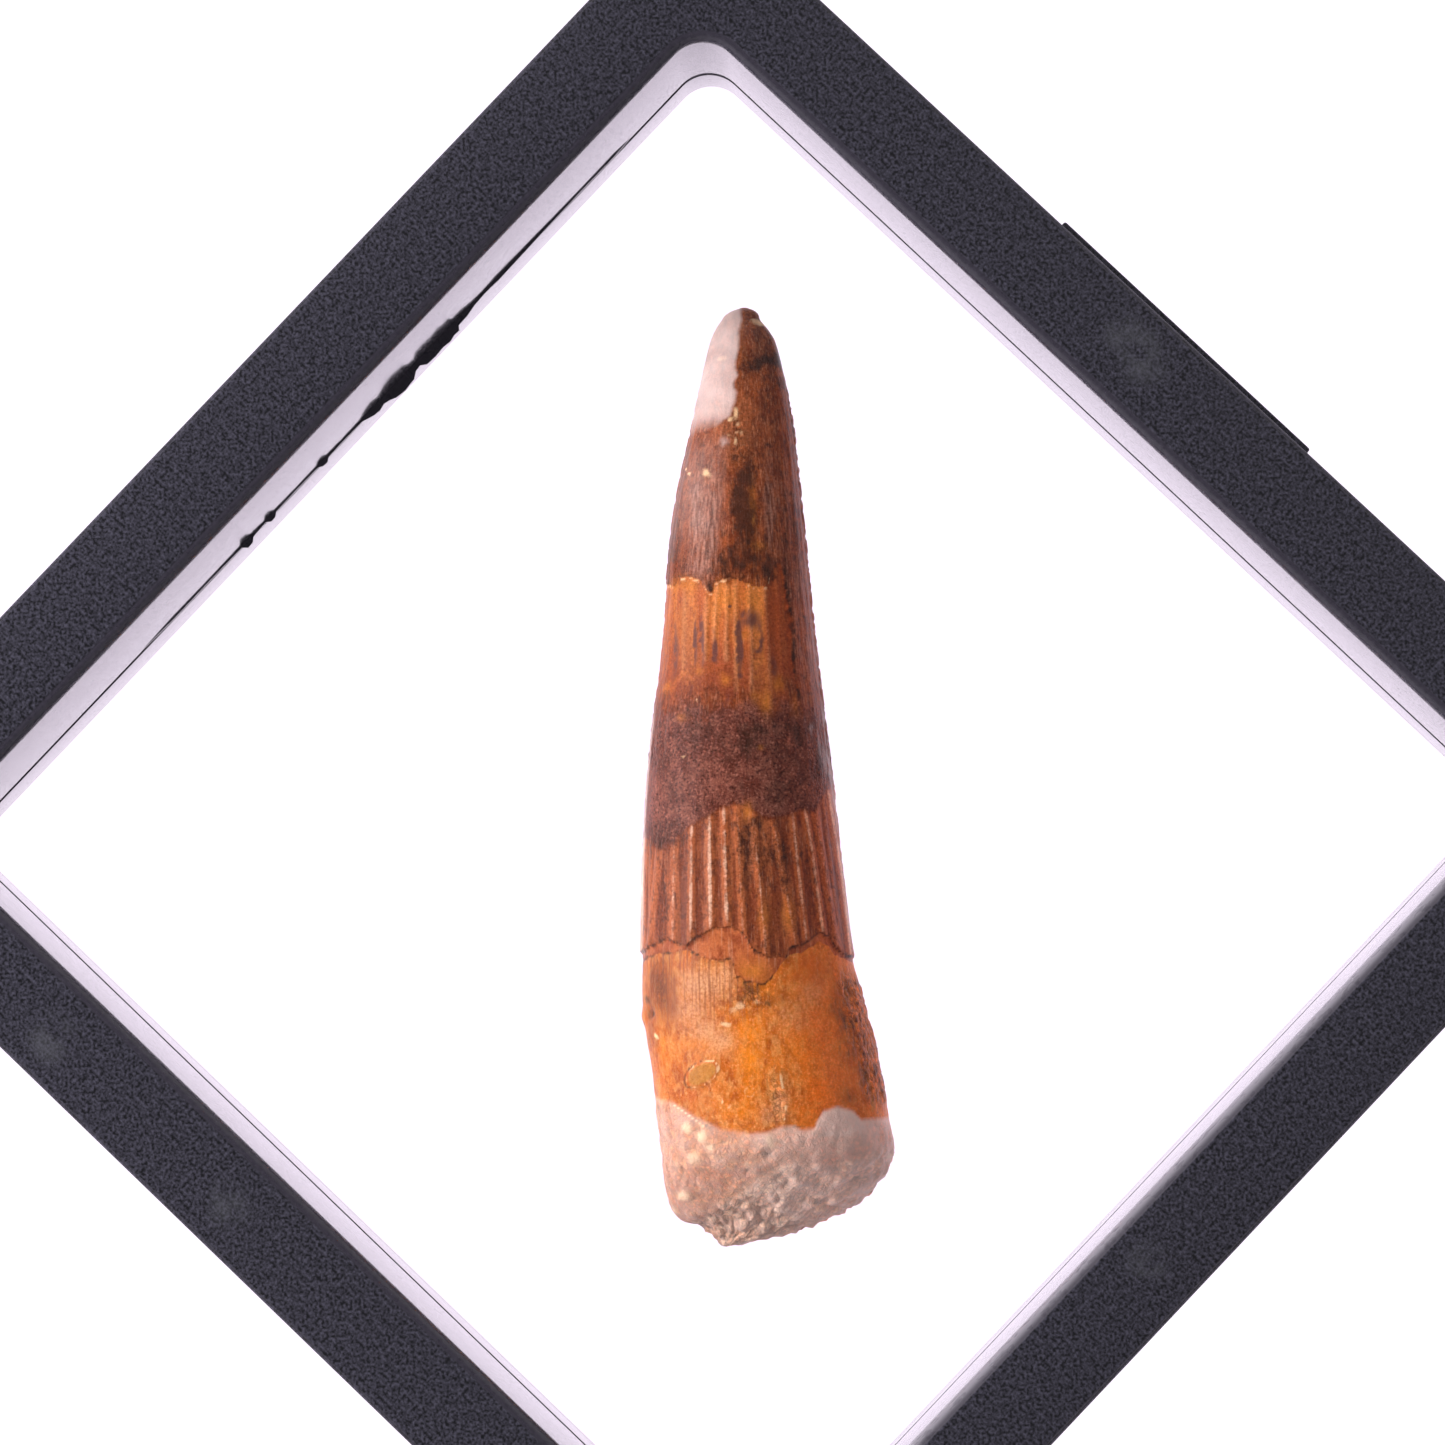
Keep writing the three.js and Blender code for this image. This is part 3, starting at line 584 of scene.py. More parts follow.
GRITTY_MARKS = [
    (45.1, -7.4, 1.5, 1.5, 0.9), (46.5, -0.6, 2.6, 0.9, 0.8), (47, 1.8, 1.6, 1.4, 0.9),
    (51, -7.9, 3, 0.5, 0.7), (58.9, -0.6, 1.0, 1.9, 1.0), (5, 0.4, 1.4, 0.8, 0.7),
    (67.6, 1.2, 2.6, 0.8, 0.9), (23.4, -1, 0.6, 5, 0.6), (25, 3.2, 3.5, 0.35, 0.9),
    (60.5, 8, 3.4, 1.2, 1.0), (57.5, -8.8, 2.6, 0.9, 0.6),
]


def station_value(column, distance):
    """One column of the tooth's stations at any distance from the tip, on a smooth curve."""
    table = TOOTH_STATIONS
    last = len(table) - 1
    row = np.clip(np.searchsorted(table[:, 0], distance, side="left") - 1, 0, last - 1)

    def slope(i):
        before, after = table[np.clip(i - 1, 0, last)], table[np.clip(i + 1, 0, last)]
        return (after[..., column] - before[..., column]) / (after[..., 0] - before[..., 0])

    span = table[row + 1, 0] - table[row, 0]
    t = np.clip((distance - table[row, 0]) / span, 0, 1)
    rise = t * t * (3 - 2 * t)
    return (table[row, column] * (1 - rise) + table[row + 1, column] * rise
            + span * (slope(row) * t * (1 - t) ** 2 - slope(row + 1) * t * t * (1 - t)))


def ease(value, low, high):
    """0 below low and 1 above high, or the other way round, with a smooth change between."""
    t = np.clip((value - low) / (high - low), 0, 1)
    return t * t * (3 - 2 * t)


def stretch(value, start, full, waning, end):
    """Rises from 0 to 1 between start and full, and falls again between waning and end."""
    return ease(value, start, full) * (1 - ease(value, waning, end))


def peak(value, width):
    """1 where the value is 0, fading on both sides over a width."""
    return np.exp(-(value / width) ** 2)


def strongest(*fields):
    """The greatest of several fields at each point."""
    return np.maximum.reduce(fields)


def line_at(line, value):
    """Where a ragged line runs, for any place along it."""
    points = np.array(line, float)
    return np.interp(value, points[:, 0], points[:, 1])


def grains(points, size, layers=3, seed=0.0):
    """Repeatable noise between about -1 and 1, with grains of a size."""
    lift = Vector((seed, seed * 0.37, -seed * 0.61))
    return np.array([
        noise.fractal(Vector(p) + lift, 0.9, 2.1, layers) for p in points / size
    ])


def lumps(points, size, where):
    """Rounded crumbs of a size, 1 at each crumb's middle and 0 between them."""
    found = np.zeros(len(points))
    for i in np.flatnonzero(where):
        nearest = noise.voronoi(Vector(points[i] / size))[0]
        found[i] = min((nearest[1] - nearest[0]) * 1.6, 1)
    return found


# The rings of points lie closer together at both ends.
distance_rows = np.concatenate([[0, 0.08, 0.2, 0.35, 0.55], np.linspace(0.75, 79.5, RINGS - 7),
                                [79.75, 80]])
turns = np.concatenate([
    np.linspace(0, math.pi, TOP_TURNS, endpoint=False),
    np.linspace(math.pi, 2 * math.pi, UNDER_TURNS, endpoint=False),
])
distance = np.repeat(distance_rows, len(turns))
turn = np.tile(turns, len(distance_rows))
left_edge, right_edge, underside, topside = (station_value(k, distance) for k in (1, 2, 3, 4))
round_x, round_z = (
    np.sign(way) * np.abs(way) ** (2 / SECTION_ROUNDNESS) for way in (np.cos(turn), np.sin(turn))
)
# The tip is worn to a dome.
dome = np.clip(distance * (2 - distance), 0, 1) ** 0.62 * (distance < 1)
half_width = np.maximum((right_edge - left_edge) / 2, 1.6 * dome)
half_height = np.maximum((topside - underside) / 2, 1.35 * dome)
across = (left_edge + right_edge) / 2 + round_x * half_width
height = (underside + topside) / 2 + round_z * half_height
own_place = np.stack([across, distance, height], 1)
on_top = np.sin(turn) >= 0

# Fields that the relief and the colours share. Across the underside the same lines run on,
# a little displaced, so that they meet at both edges.
fade = np.where(on_top, 0, 1) * (1 - np.abs(round_x) ** 3)
mark_distance = distance + fade * 2.4 * np.sin(across * 0.7 + 1)
fine = grains(own_place, 0.55, 3, 3.1)
medium = grains(own_place, 1.6, 3, 11.7)
broad = grains(own_place, 5.5, 3, 23.9)


def long_grains(width, length, layers, seed):
    """Noise drawn out along the tooth, in grains of a width and a length."""
    return grains(np.stack([across / width, distance / length, height / width], 1), 1.0,
                  layers, seed)


streaks = long_grains(0.55, 9, 3, 5.3)
wide_streaks = long_grains(1.5, 16, 2, 47.3)
uneven_distance = distance + 0.22 * medium + 0.1 * fine
uneven_across = across + 0.16 * fine + 0.1 * streaks


def spot(at_distance, at_across, length, width):
    """A soft, slightly ragged oval mark on the upper side."""
    return on_top * np.exp(-((uneven_distance - at_distance) / length) ** 2
                           - ((uneven_across - at_across) / width) ** 2)


def marked(marks, growth=1.0):
    """Several oval marks together, each grown by the same factor."""
    found = np.zeros(len(distance))
    for at_distance, at_across, length, width, strength in marks:
        mark = strength * spot(at_distance, at_across, length * growth, width * growth)
        found = found + mark - found * mark
    return found


def spots(*rows):
    """Several oval marks added up."""
    return sum(strength * spot(*place) for *place, strength in rows)


def near(points, width):
    """1 on a line of (distance, across) points on the upper side, fading over the width."""
    found = np.full(len(distance), 99.0)
    for (d0, a0), (d1, a1) in zip(points, points[1:]):
        along, aside = d1 - d0, a1 - a0
        t = ((distance - d0) * along + (across - a0) * aside) / (along ** 2 + aside ** 2)
        t = np.clip(t, 0, 1)
        found = np.minimum(found, np.hypot(distance - d0 - t * along, across - a0 - t * aside))
    return on_top * peak(found, width)


def past(line, raggedness):
    """How far each point lies past a ragged line that runs across the tooth."""
    return mark_distance + raggedness - line_at(line, across)


from_break = past(UPPER_BREAK, 0.12 * fine)
from_flute_tops = past(FLUTE_TOPS, 0.35 * medium)
from_edge = past(ENAMEL_EDGE, 0.12 * fine)
from_inner_edge = past(INNER_EDGE, 0.12 * fine)
from_dry_base = past(DRY_BASE_LINE, 0.08 * fine)
from_face = past(FACE_LINE, 0.5 * medium)
from_strip = across + 0.1 * fine - line_at(STRIP_EDGE, distance)

even_flutes = 0.5 + 0.5 * np.cos(EVEN_FLUTES * turn)
crest = strongest(*(near(points, FLUTE_WIDTH) for points, paleness in FLUTE_CRESTS))
crest = np.where(on_top, np.maximum(crest, 0.5 * even_flutes * (np.abs(round_x) > 0.85)),
                 even_flutes)
in_flutes = ease(from_flute_tops, -0.6, 1.2) * (1 - ease(from_edge, -0.3, 0.1))
# Where the painted highlights on the flutes' crests fall.
pale_crest = in_flutes * strongest(*(
    paleness * near(points, CREST_WIDTH) for points, paleness in FLUTE_CRESTS
))
amber_ridge = strongest(*(near(points, RIDGE_WIDTH) for points in AMBER_RIDGES))

granular = ease(mark_distance + 1.2 * medium, 32, 37) * (1 - ease(from_flute_tops, -0.6, 0.8))
smooth_patch = ease(mark_distance + 0.6 * medium, 38.4, 40.2) * ease(-across, -3.5, 1)
broken_end = ease(from_face, -0.5, 0.6)
root = ease(from_edge, -0.1, 0.15)
under_film = ease(from_dry_base, 0.0, 0.5)
rough_right = ease(across - (right_edge - 2.4), 0, 1) * stretch(distance, 56, 58, 67, 69)
tip_crumbs = spots((10.8, -0.7, 2.0, 0.75, 1), (13.4, -0.2, 1.2, 1.2, 0.7))
gritty = strongest(0.55 * granular * (1 - 0.8 * smooth_patch), broken_end, 0.85 * rough_right,
                   tip_crumbs, marked(GRITTY_MARKS), 0.7 * under_film)
crumb = lumps(own_place + 0.1 * fine[:, None], CRUMB_SIZE, gritty > 0.05)
big_crumb = lumps(own_place + 0.2 * medium[:, None], BIG_CRUMB_SIZE,
                  (under_film > 0.05) | (gritty > 0.6))
pits = ease(medium + 0.5 * fine, -0.35, -0.75) * gritty
ragged_rim = ease(distance, 75.5, 77.5)
blister = on_top * np.exp(-((distance - 65.2 + 0.35 * (across + 5)) / 1.05) ** 2
                          - ((across + 5.0) / 1.5) ** 2)
blister_line = peak(blister - 0.42 + 0.08 * fine, 0.06) * ease(medium, -0.6, 0.2)

relief = (0.145 * crest - 0.09) * in_flutes
relief += 0.03 * (even_flutes - 0.5) * stretch(distance, 6, 12, 40, 44)
relief += (0.022 * streaks + 0.012 * fine) * (1 - root)
upper_end = 1 - ease(distance, 30, 36)
relief -= 0.12 * ease(from_break, -0.06, 0.1) * (1 - ease(from_strip, -0.1, 0.1)) * upper_end
relief += 0.07 * amber_ridge * upper_end
relief += gritty * (1 - broken_end) * (0.11 * crumb - 0.08 - 0.12 * pits) * (1 - 0.5 * root)
relief -= ENAMEL_STEP * root
relief += root * (0.06 * broad + 0.03 * medium + 0.018 * fine)
relief -= peak(from_inner_edge, 0.16) * 0.07 * root * (across < 2)
relief += rough_right * (0.12 * medium + 0.05 * fine)
relief += under_film * (0.1 * big_crumb + 0.06 * medium)
relief += broken_end * (0.17 * medium + (0.13 + 0.27 * ragged_rim) * big_crumb
                        + (0.05 + 0.1 * ragged_rim) * crumb - 0.13 - 0.25 * ragged_rim)
# The worn keel along the right edge and the faint one along the left.
keel = ease(np.abs(round_x), 0.985, 0.998) * stretch(distance, 5, 9, 40, 54)
relief += keel * (0.06 + 0.1 * ease(fine, -0.1, 0.35)) * np.where(round_x > 0, 1, 0.55)
relief += 0.16 * ease(blister, 0.2, 0.6)
relief -= 0.3 * marked(HOLES)
relief += 0.12 * marked(CREAM_MARKS) * ease(distance, 66, 69)
relief += 0.08 * near(PALE_SEAM, 0.25)
relief += 0.2 * peak(distance - 60.4, 0.6) * ease(-round_x, 0.96, 0.99)
relief *= ease(distance, 0, 1.5) * (1 - ease(distance, 79, 80) * 0.6)

# The relief goes along the smooth surface's own normal.
grid = own_place.reshape(len(distance_rows), len(turns), 3)
around = np.roll(grid, -1, axis=1) - np.roll(grid, 1, axis=1)
outward = np.cross(np.gradient(grid, axis=0), around)
outward /= np.maximum(np.linalg.norm(outward, axis=2, keepdims=True), 1e-9)
outward = outward.reshape(-1, 3)
middle = np.stack([(left_edge + right_edge) / 2, distance, (underside + topside) / 2], 1)
outward[((own_place - middle) * outward).sum(1) < 0] *= -1
worked = own_place + outward * relief[:, None]
worked[:, 2] = np.maximum(worked[:, 2], TOOTH_LOWEST)

# The tooth lies at an eighth of a turn in the case, its tip towards the corner at +X and -Y.
diagonal = math.sqrt(0.5)
tooth_points = np.stack([
    TOOTH_TIP[0] - diagonal * worked[:, 1] - diagonal * worked[:, 0],
    TOOTH_TIP[1] + diagonal * worked[:, 1] - diagonal * worked[:, 0],
    worked[:, 2],
], 1)
tooth = piece_from("fossil_tooth", tooth_points, ring_faces(len(distance_rows), len(turns)))
tooth.data.shade_smooth()
along_grain = tooth.data.attributes.new("along_grain", "FLOAT_VECTOR", "POINT")
along_grain.data.foreach_set("vector", np.asarray(own_place, np.float32).ravel())


def keep_fields(**fields):
    """Each field as a value on every point of the tooth, for its finish to use."""
    for name, values in fields.items():
        layer = tooth.data.attributes.new(name, "FLOAT", "POINT")
        layer.data.foreach_set("value", np.asarray(np.clip(values, 0, 1), np.float32))


# Each area is about 0.5 on its boundary and changes by 1 over about a millimetre.
amber = strongest(
    np.minimum.reduce([0.5 + from_break * 1.5, 0.5 - from_strip * 1.5,
                       0.5 + (33.2 + 1.6 * wide_streaks + 0.8 * medium - distance) * 0.13]),
    0.8 * spot(34.5, 2.2, 2.4, 1.6))
strip = np.clip(0.5 + from_strip * 1.5, 0, 1) * stretch(distance, 20, 24, 30, 38)
keep_fields(
    amber=amber,
    amber_lower=ease(distance + 1.5 * wide_streaks, 26.5, 34.5)
    * (1 - 0.5 * spot(33, 2, 2.5, 1.5)),
    amber_right=ease(across + 0.3 * streaks, 0.7, 1.9),
    # Painted highlights on the amber ridges, fading towards the shaded right.
    ridge=amber_ridge * (0.7 + 0.5 * streaks) * (1 - ease(across, 0.2, 2.5) * 0.6),
    slate=strongest(0.32 * strip, spots(*SLATE_SPOTS)),
    crumbs=spots((10.5, -0.8, 3.2, 1.5, 0.85), (3.0, -0.2, 2.5, 0.4, 0.5)),
    granular=granular,
    flutes=in_flutes,
    # Painted light on the flutes' crests and painted shade in their troughs.
    crest_shade=ease(crest, 0.1, 0.75),
    pale_crest=pale_crest * (0.85 + 0.5 * medium + 0.4 * fine),
    root=0.5 + from_edge * 1.5,
    bare_root=0.5 + from_inner_edge * 1.5,
    upper_root=ease(distance, 62.5, 58.5) * ease(across, 1.0, -1.0),
    broken=0.5 + from_face * 0.5,
    gritty=gritty,
    crumb=np.where(gritty > 0.05, crumb, 0.5),
    lit_side=ease(-across + 0.4 * medium, 1.0, 6.5) * ease(distance, 8, 14),
    shaded_side=ease(across + 0.5 * medium, 1.0, 5.5) * (0.85 + 0.3 * medium),
)

# Marks: dark spots and lines, darker in cracks and pits, and a painted shadow line above the
# upper break; cream crumbs, broken edges and a painted highlight round the blister; and stains.
edge_dark = peak(from_edge, 0.15) * (0.55 + 0.5 * ease(medium, -0.3, 0.3)) * on_top
inner_dark = peak(from_inner_edge, 0.13) * (across < 1.3) * on_top
cream_ring = np.abs(np.hypot(distance - 66.8, across + 1.0) - 0.42)
keep_fields(
    dark=strongest(
        marked(DARK_MARKS, 1.4),
        edge_dark * np.where((across > 0.9) & (across < 2.2), 0.3, 1),
        0.65 * inner_dark * (0.5 + ease(medium, -0.3, 0.3)),
        0.6 * rough_right * ease(fine + 0.4 * medium, 0.0, 0.4),
        0.75 * near(DARK_CRACK, 0.2) * ease(fine, -0.35, 0.1),
        # Painted shadow: a thin dark line along the upper break.
        0.5 * peak(from_break, 0.2) * (from_break < 0.05) * on_top,
        0.7 * peak(blister - 0.34, 0.06) * (across < -4.6),
        0.6 * near([(68.0, -7.3), (69.0, -5.6), (69.8, -4.4)], 0.1),
        0.55 * pits,
    ),
    cream=strongest(
        marked(CREAM_MARKS, 1.25),
        0.55 * tip_crumbs * ease(crumb + 0.8 * fine, 0.55, 1.1),
        0.62 * peak(from_break - 0.22, 0.22) * (across < 2.0) * on_top * ease(fine, -0.25, 0.3),
        # Painted highlight: a pale ring round the blister.
        0.75 * blister_line,
        0.7 * near([(67.7, -7.7), (68.8, -6.1), (69.6, -5.0)], 0.11),
        0.36 * near([(55.7, 4.9), (57.2, 5.0), (58.1, 4.6), (58.4, 3.9)], 0.12),
        0.8 * near(PALE_SEAM, 0.16) * ease(fine, -0.3, 0.15),
        0.45 * on_top * peak(cream_ring, 0.14),
    ),
    purple=marked(PURPLE_MARKS, 1.15) * (0.8 + 0.5 * ease(fine, -0.4, 0.3)),
    glow=marked(GLOW_MARKS),
    peach=marked(PEACH_MARKS),
    rust=strongest(marked(RUST_MARKS), 0.35 * rough_right) * (1 - 0.5 * ease(across, 2, 6)),
    olive=0.62 * ease(blister, 0.36, 0.6) + spots(
        (68.2, 9.3, 1.0, 0.4, 0.7), (18.6, 0.5, 2.2, 0.35, 0.5), (21.4, -6.6, 1.6, 0.5, 0.5)),
)

# Painted reflection of the film where it doesn't touch the tooth, painted highlights where the
# light catches its edges, and a painted sheen on the lamp's side.
tip_patch = np.clip(0.5 + (line_at(DRY_TIP_LINE, distance) - across + 0.07 * fine) * 3, 0, 1)
tip_patch *= 1 - ease(distance + 0.5 * medium, 8.8, 11.4)
base_patch = np.clip(0.5 + from_dry_base * 3, 0, 1)
base_veil = base_patch * (0.34 + 0.4 * ease(across, -6, 6) + 0.02 * broken_end + 0.14 * medium)
arch = base_patch * spot(69.5, 6.4, 1.2, 2.0)
lamp_side = ease(-across, 0.5, 4.5) * stretch(distance, 10, 13, 17, 23)
shine = on_top * strongest(
    0.3 * near([(36.4, 4.9), (38, 5.6), (40, 6.2)], 0.3) * ease(streaks, -0.2, 0.2),
    0.45 * ease(np.abs(round_x), 0.97, 0.99) * stretch(distance, 33, 36, 53, 55)
    * ease(streaks, -0.3, 0.1),
    0.55 * near([(45, -9.6), (50, -9.85), (55, -10.0)], 0.2) * ease(streaks, -0.4, 0.1),
)
veil = strongest(
    tip_patch * (0.74 + 0.16 * medium), base_veil + 0.55 * arch,
    0.5 * spot(12.0, -1.9, 0.4, 0.3), 0.13 * lamp_side * (0.8 + 0.4 * streaks), shine,
)
keep_fields(veil=np.where(on_top, veil, 0.2 * ease(broad, -0.2, 0.5)))


def fossil_finish():
    """Enamel, root and sediment, each layer laid over the last where its field says."""
    material, add = start_finish("fossil_enamel_and_root")

    def kept(name, output="Fac"):
        return add("Attribute", attribute_name=name, attribute_type="GEOMETRY").outputs[output]

    place = kept("along_grain", "Vector")
    hairs = speckle(add, place, 4.5, 2.0, 0.5, (1.0, 0.03, 1.0))
    thin_hairs = speckle(add, place, 9.0, 2.0, 0.5, (1.0, 0.025, 1.0))
    bands = speckle(add, place, 1.3, 3.0, 0.55, (1.0, 0.04, 1.0))
    mottle = speckle(add, place, 1.1, 4.0, 0.62, (1.0, 0.7, 1.0))
    flecks = speckle(add, place, 2.4, 3.0, 0.6, (1.0, 0.5, 1.0))
    grit = speckle(add, place, 4.5, 3.0, 0.65)
    dust = speckle(add, place, 11.0, 2.0, 0.6)
    clouds = speckle(add, place, 0.3, 3.0, 0.5)
    stirred = add("TexNoise", {"Vector": place, "Scale": 2.2, "Detail": 2.0}).outputs["Color"]
    shaken = add("VectorMath", {0: stirred, 1: (0.55, 0.55, 0.55), 2: place},
                 operation="MULTIPLY_ADD").outputs["Vector"]
    cracks = add("TexVoronoi", {"Vector": shaken, "Scale": 2.3},
                 feature="DISTANCE_TO_EDGE").outputs["Distance"]
    pebbles = add("TexVoronoi", {"Vector": shaken, "Scale": 2.3}).outputs

    def edge(name, reach=0.3, softness=0.12, by=grit):
        """A field cut sharp along its boundary, with the boundary roughened by noise."""
        rough = reckon(add, "MULTIPLY_ADD", by, reach,
                       reckon(add, "SUBTRACT", kept(name), reach / 2))
        return spread(add, rough, 0.5 - softness, 0.5 + softness)

    def laid(colour, *layers):
        """Colours laid over a colour, each up to a share where its noise runs low to high."""
        for noise_value, low, high, share, layer in layers:
            colour = tint(add, spread(add, noise_value, low, high, 0.0, share), colour, layer)
        return colour

    def patched(colour, *patches):
        """Colours laid over a colour by a field, uneven between two shares of it by a noise."""
        for name, noise_value, low, high, least, most, patch in patches:
            share = times(add, kept(name), spread(add, noise_value, low, high, least, most))
            colour = tint(add, share, colour, patch)
        return colour

    # The dark enamel towards the tip.
    colour = laid(
        (0.18, 0.031, 0.006), (mottle, 0.38, 0.62, 1.0, (0.3, 0.063, 0.013)),
        (bands, 0.48, 0.66, 0.6, (0.1, 0.024, 0.01)),
        (flecks, 0.5, 0.66, 0.7, (0.07, 0.014, 0.005)),
        (hairs, 0.52, 0.7, 0.4, (0.4, 0.115, 0.042)),
        (thin_hairs, 0.54, 0.7, 0.55, (0.5, 0.19, 0.095)))
    slate = laid((0.15, 0.062, 0.045), (hairs, 0.35, 0.65, 1.0, (0.5, 0.25, 0.19)))
    colour = patched(colour, ("crumbs", flecks, 0.35, 0.6, 0.4, 1.0, (0.36, 0.105, 0.035)),
                     ("slate", hairs, 0.25, 0.55, 0.4, 0.95, slate))

    # The amber zone, where the outer enamel has come off.
    amber = laid(
        (0.64, 0.19, 0.04), (bands, 0.36, 0.62, 1.0, (0.44, 0.095, 0.02)),
        (thin_hairs, 0.54, 0.74, 0.4, (0.62, 0.27, 0.11)),
        (flecks, 0.52, 0.68, 0.55, (0.27, 0.055, 0.016)))
    amber = tint(add, times(add, kept("amber_right"), 0.75), amber, (0.28, 0.046, 0.01))
    amber = patched(amber, ("amber_lower", mottle, 0.3, 0.55, 0.35, 1.0, (0.22, 0.042, 0.016)))
    # Painted highlights along the fine ridges, weaker towards the shaded right.
    amber = tint(add, times(add, edge("ridge", 0.5, 0.4), 0.38), amber, (0.68, 0.3, 0.13))
    colour = tint(add, edge("amber", 0.5, 0.1, hairs), colour, amber)

    # The granular zone, the flutes and the narrow band at the enamel's edge.
    granular = laid(
        (0.12, 0.026, 0.014), (mottle, 0.34, 0.66, 1.0, (0.23, 0.07, 0.045)),
        (flecks, 0.5, 0.7, 0.4, (0.28, 0.1, 0.068)),
        (grit, 0.46, 0.34, 0.75, (0.04, 0.009, 0.007)),
        (grit, 0.56, 0.68, 0.5, (0.4, 0.15, 0.1)))
    colour = tint(add, edge("granular", 0.8, 0.25, mottle), colour, granular)
    # The flutes: painted light on the crests and painted shade in the troughs between them.
    flute = laid(
        (0.2, 0.04, 0.012), (kept("crest_shade"), 0.1, 0.9, 1.0, (0.4, 0.1, 0.03)),
        (bands, 0.46, 0.62, 0.7, (0.44, 0.12, 0.04)),
        (flecks, 0.5, 0.66, 0.65, (0.1, 0.022, 0.011)),
        (thin_hairs, 0.58, 0.74, 0.4, (0.5, 0.24, 0.15)))
    colour = tint(add, edge("flutes", 0.6, 0.2, mottle), colour, flute)
    band = laid((0.34, 0.07, 0.022), (mottle, 0.4, 0.6, 1.0, (0.52, 0.135, 0.04)),
                (hairs, 0.55, 0.7, 0.5, (0.6, 0.26, 0.14)))
    colour = tint(add, edge("root", 0.15, 0.08), colour, band)

    # The bare orange root and its stains.
    bare = laid(
        (0.56, 0.12, 0.008), (clouds, 0.4, 0.6, 1.0, (0.66, 0.175, 0.02)),
        (mottle, 0.46, 0.62, 0.7, (0.38, 0.075, 0.012)),
        (flecks, 0.43, 0.66, 0.65, (0.78, 0.32, 0.09)),
        (grit, 0.54, 0.74, 0.32, (0.8, 0.42, 0.2)))
    # Painted shade: a deeper orange on the root's shaded side.
    bare = tint(add, times(add, kept("shaded_side"), 0.45), bare, (0.95, 0.27, 0.02))
    bare = patched(bare, ("peach", grit, 0.3, 0.55, 0.4, 1.0, (0.74, 0.36, 0.18)),
                   ("glow", mottle, 0.35, 0.6, 0.95, 0.55, (0.84, 0.225, 0.006)),
                   ("upper_root", hairs, 0.48, 0.62, 0.0, 0.7, (0.34, 0.105, 0.045)))
    colour = tint(add, edge("bare_root", 0.15, 0.08), colour, bare)
    on_enamel = reckon(add, "SUBTRACT", 1.0, kept("bare_root"))
    colour = tint(add, times(add, kept("glow"), on_enamel, 0.8), colour, (0.62, 0.19, 0.022))
    colour = patched(colour, ("rust", grit, 0.3, 0.6, 0.45, 1.0, (0.16, 0.036, 0.017)))
    colour = tint(add, times(add, edge("olive", 0.25), 0.6), colour, (0.5, 0.235, 0.035))

    # The sediment, and the painted highlights along the flutes' crests.
    sediment = laid((0.6, 0.25, 0.13), (mottle, 0.4, 0.62, 1.0, (0.95, 0.43, 0.22)),
                    (pebbles["Color"], 0.45, 0.85, 0.75, (0.92, 0.6, 0.38)))
    colour = tint(add, edge("broken", 0.7, 0.25, mottle), colour, sediment)
    colour = tint(add, times(add, edge("pale_crest", 0.5, 0.35), 0.9), colour, (0.74, 0.44, 0.3))

    # Light and dark of single grains and pebbles: painted light in each pebble's middle, darker
    # along the cracks and between crumbs, a darker painted tone on the lit side and a redder,
    # deeper painted shade on the shaded side.
    speckled = spread(add, pebbles["Color"], 0.2, 0.8, 0.7, 1.3, "LINEAR")
    # Painted light: each pebble lighter in its middle and darker at its rim, as if rounded and
    # lit.
    rounded = spread(add, pebbles["Distance"], 0.1, 0.65, 1.14, 0.82)
    shade = times(add, speckled, rounded, spread(add, cracks, 0.01, 0.14, 0.76, 1.0),
                  spread(add, kept("crumb"), 0.0, 0.5, 0.7, 1.06))
    sandy = mix(add, kept("root"), spread(add, grit, 0.32, 0.68, 0.68, 1.3, "LINEAR"),
                spread(add, grit, 0.32, 0.68, 0.82, 1.16, "LINEAR"))
    shade = times(add, mix(add, kept("gritty"), 1.0, shade), sandy)
    grey = add("CombineXYZ", {axis: shade for axis in range(3)}).outputs[0]
    for share, layer in ((1.0, grey), (times(add, kept("shaded_side"), 0.8), (1.16, 0.74, 0.52)),
                         (times(add, kept("lit_side"), 0.8), (0.68, 0.66, 0.68))):
        colour = tint(add, share, colour, layer, "MULTIPLY")

    # Stains, dark marks with a painted shadow line, cream crumbs with a painted highlight, and
    # dust, and over all the painted reflection of the film where it stands off the tooth.
    for share, layer in (
        (times(add, edge("purple", 0.5, 0.3), 0.85), (0.095, 0.035, 0.034)),
        (times(add, edge("dark", 1.3, 0.38, flecks), 0.85), (0.035, 0.011, 0.006)),
        (edge("cream", 0.4, 0.28, dust), (0.8, 0.5, 0.27)),
        (times(add, spread(add, dust, 0.7, 0.78), 0.5), (0.62, 0.42, 0.32)),
    ):
        colour = tint(add, share, colour, layer)
    # Painted reflection of the film over the tooth, in pale pink, strongest where the film stands
    # off it.
    uneven = reckon(add, "MULTIPLY_ADD", grit, 0.08, reckon(add, "SUBTRACT", kept("veil"), 0.04))
    milky = tint(add, kept("root"), (0.92, 0.72, 0.68), (1.0, 0.74, 0.66))
    colour = tint(add, spread(add, uneven, 0.0, 1.0, 0.0, 0.82, "LINEAR"), colour, milky)
    lift = reckon(add, "MULTIPLY_ADD", thin_hairs, 0.45, times(add, grit, 0.55))
    lift = reckon(add, "MULTIPLY_ADD", times(add, kept("gritty"), spread(add, cracks, 0.0, 0.25)),
                  0.65, lift)
    surface(add, colour, spread(add, grit, 0.3, 0.7, 0.26, 0.5, "LINEAR"), lift, 0.45, 0.12 * MM,
            IOR=1.4, Specular_IOR_Level=0.2)
    return material


tooth.data.materials.append(fossil_finish())
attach(tooth, "base")
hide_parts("tooth")


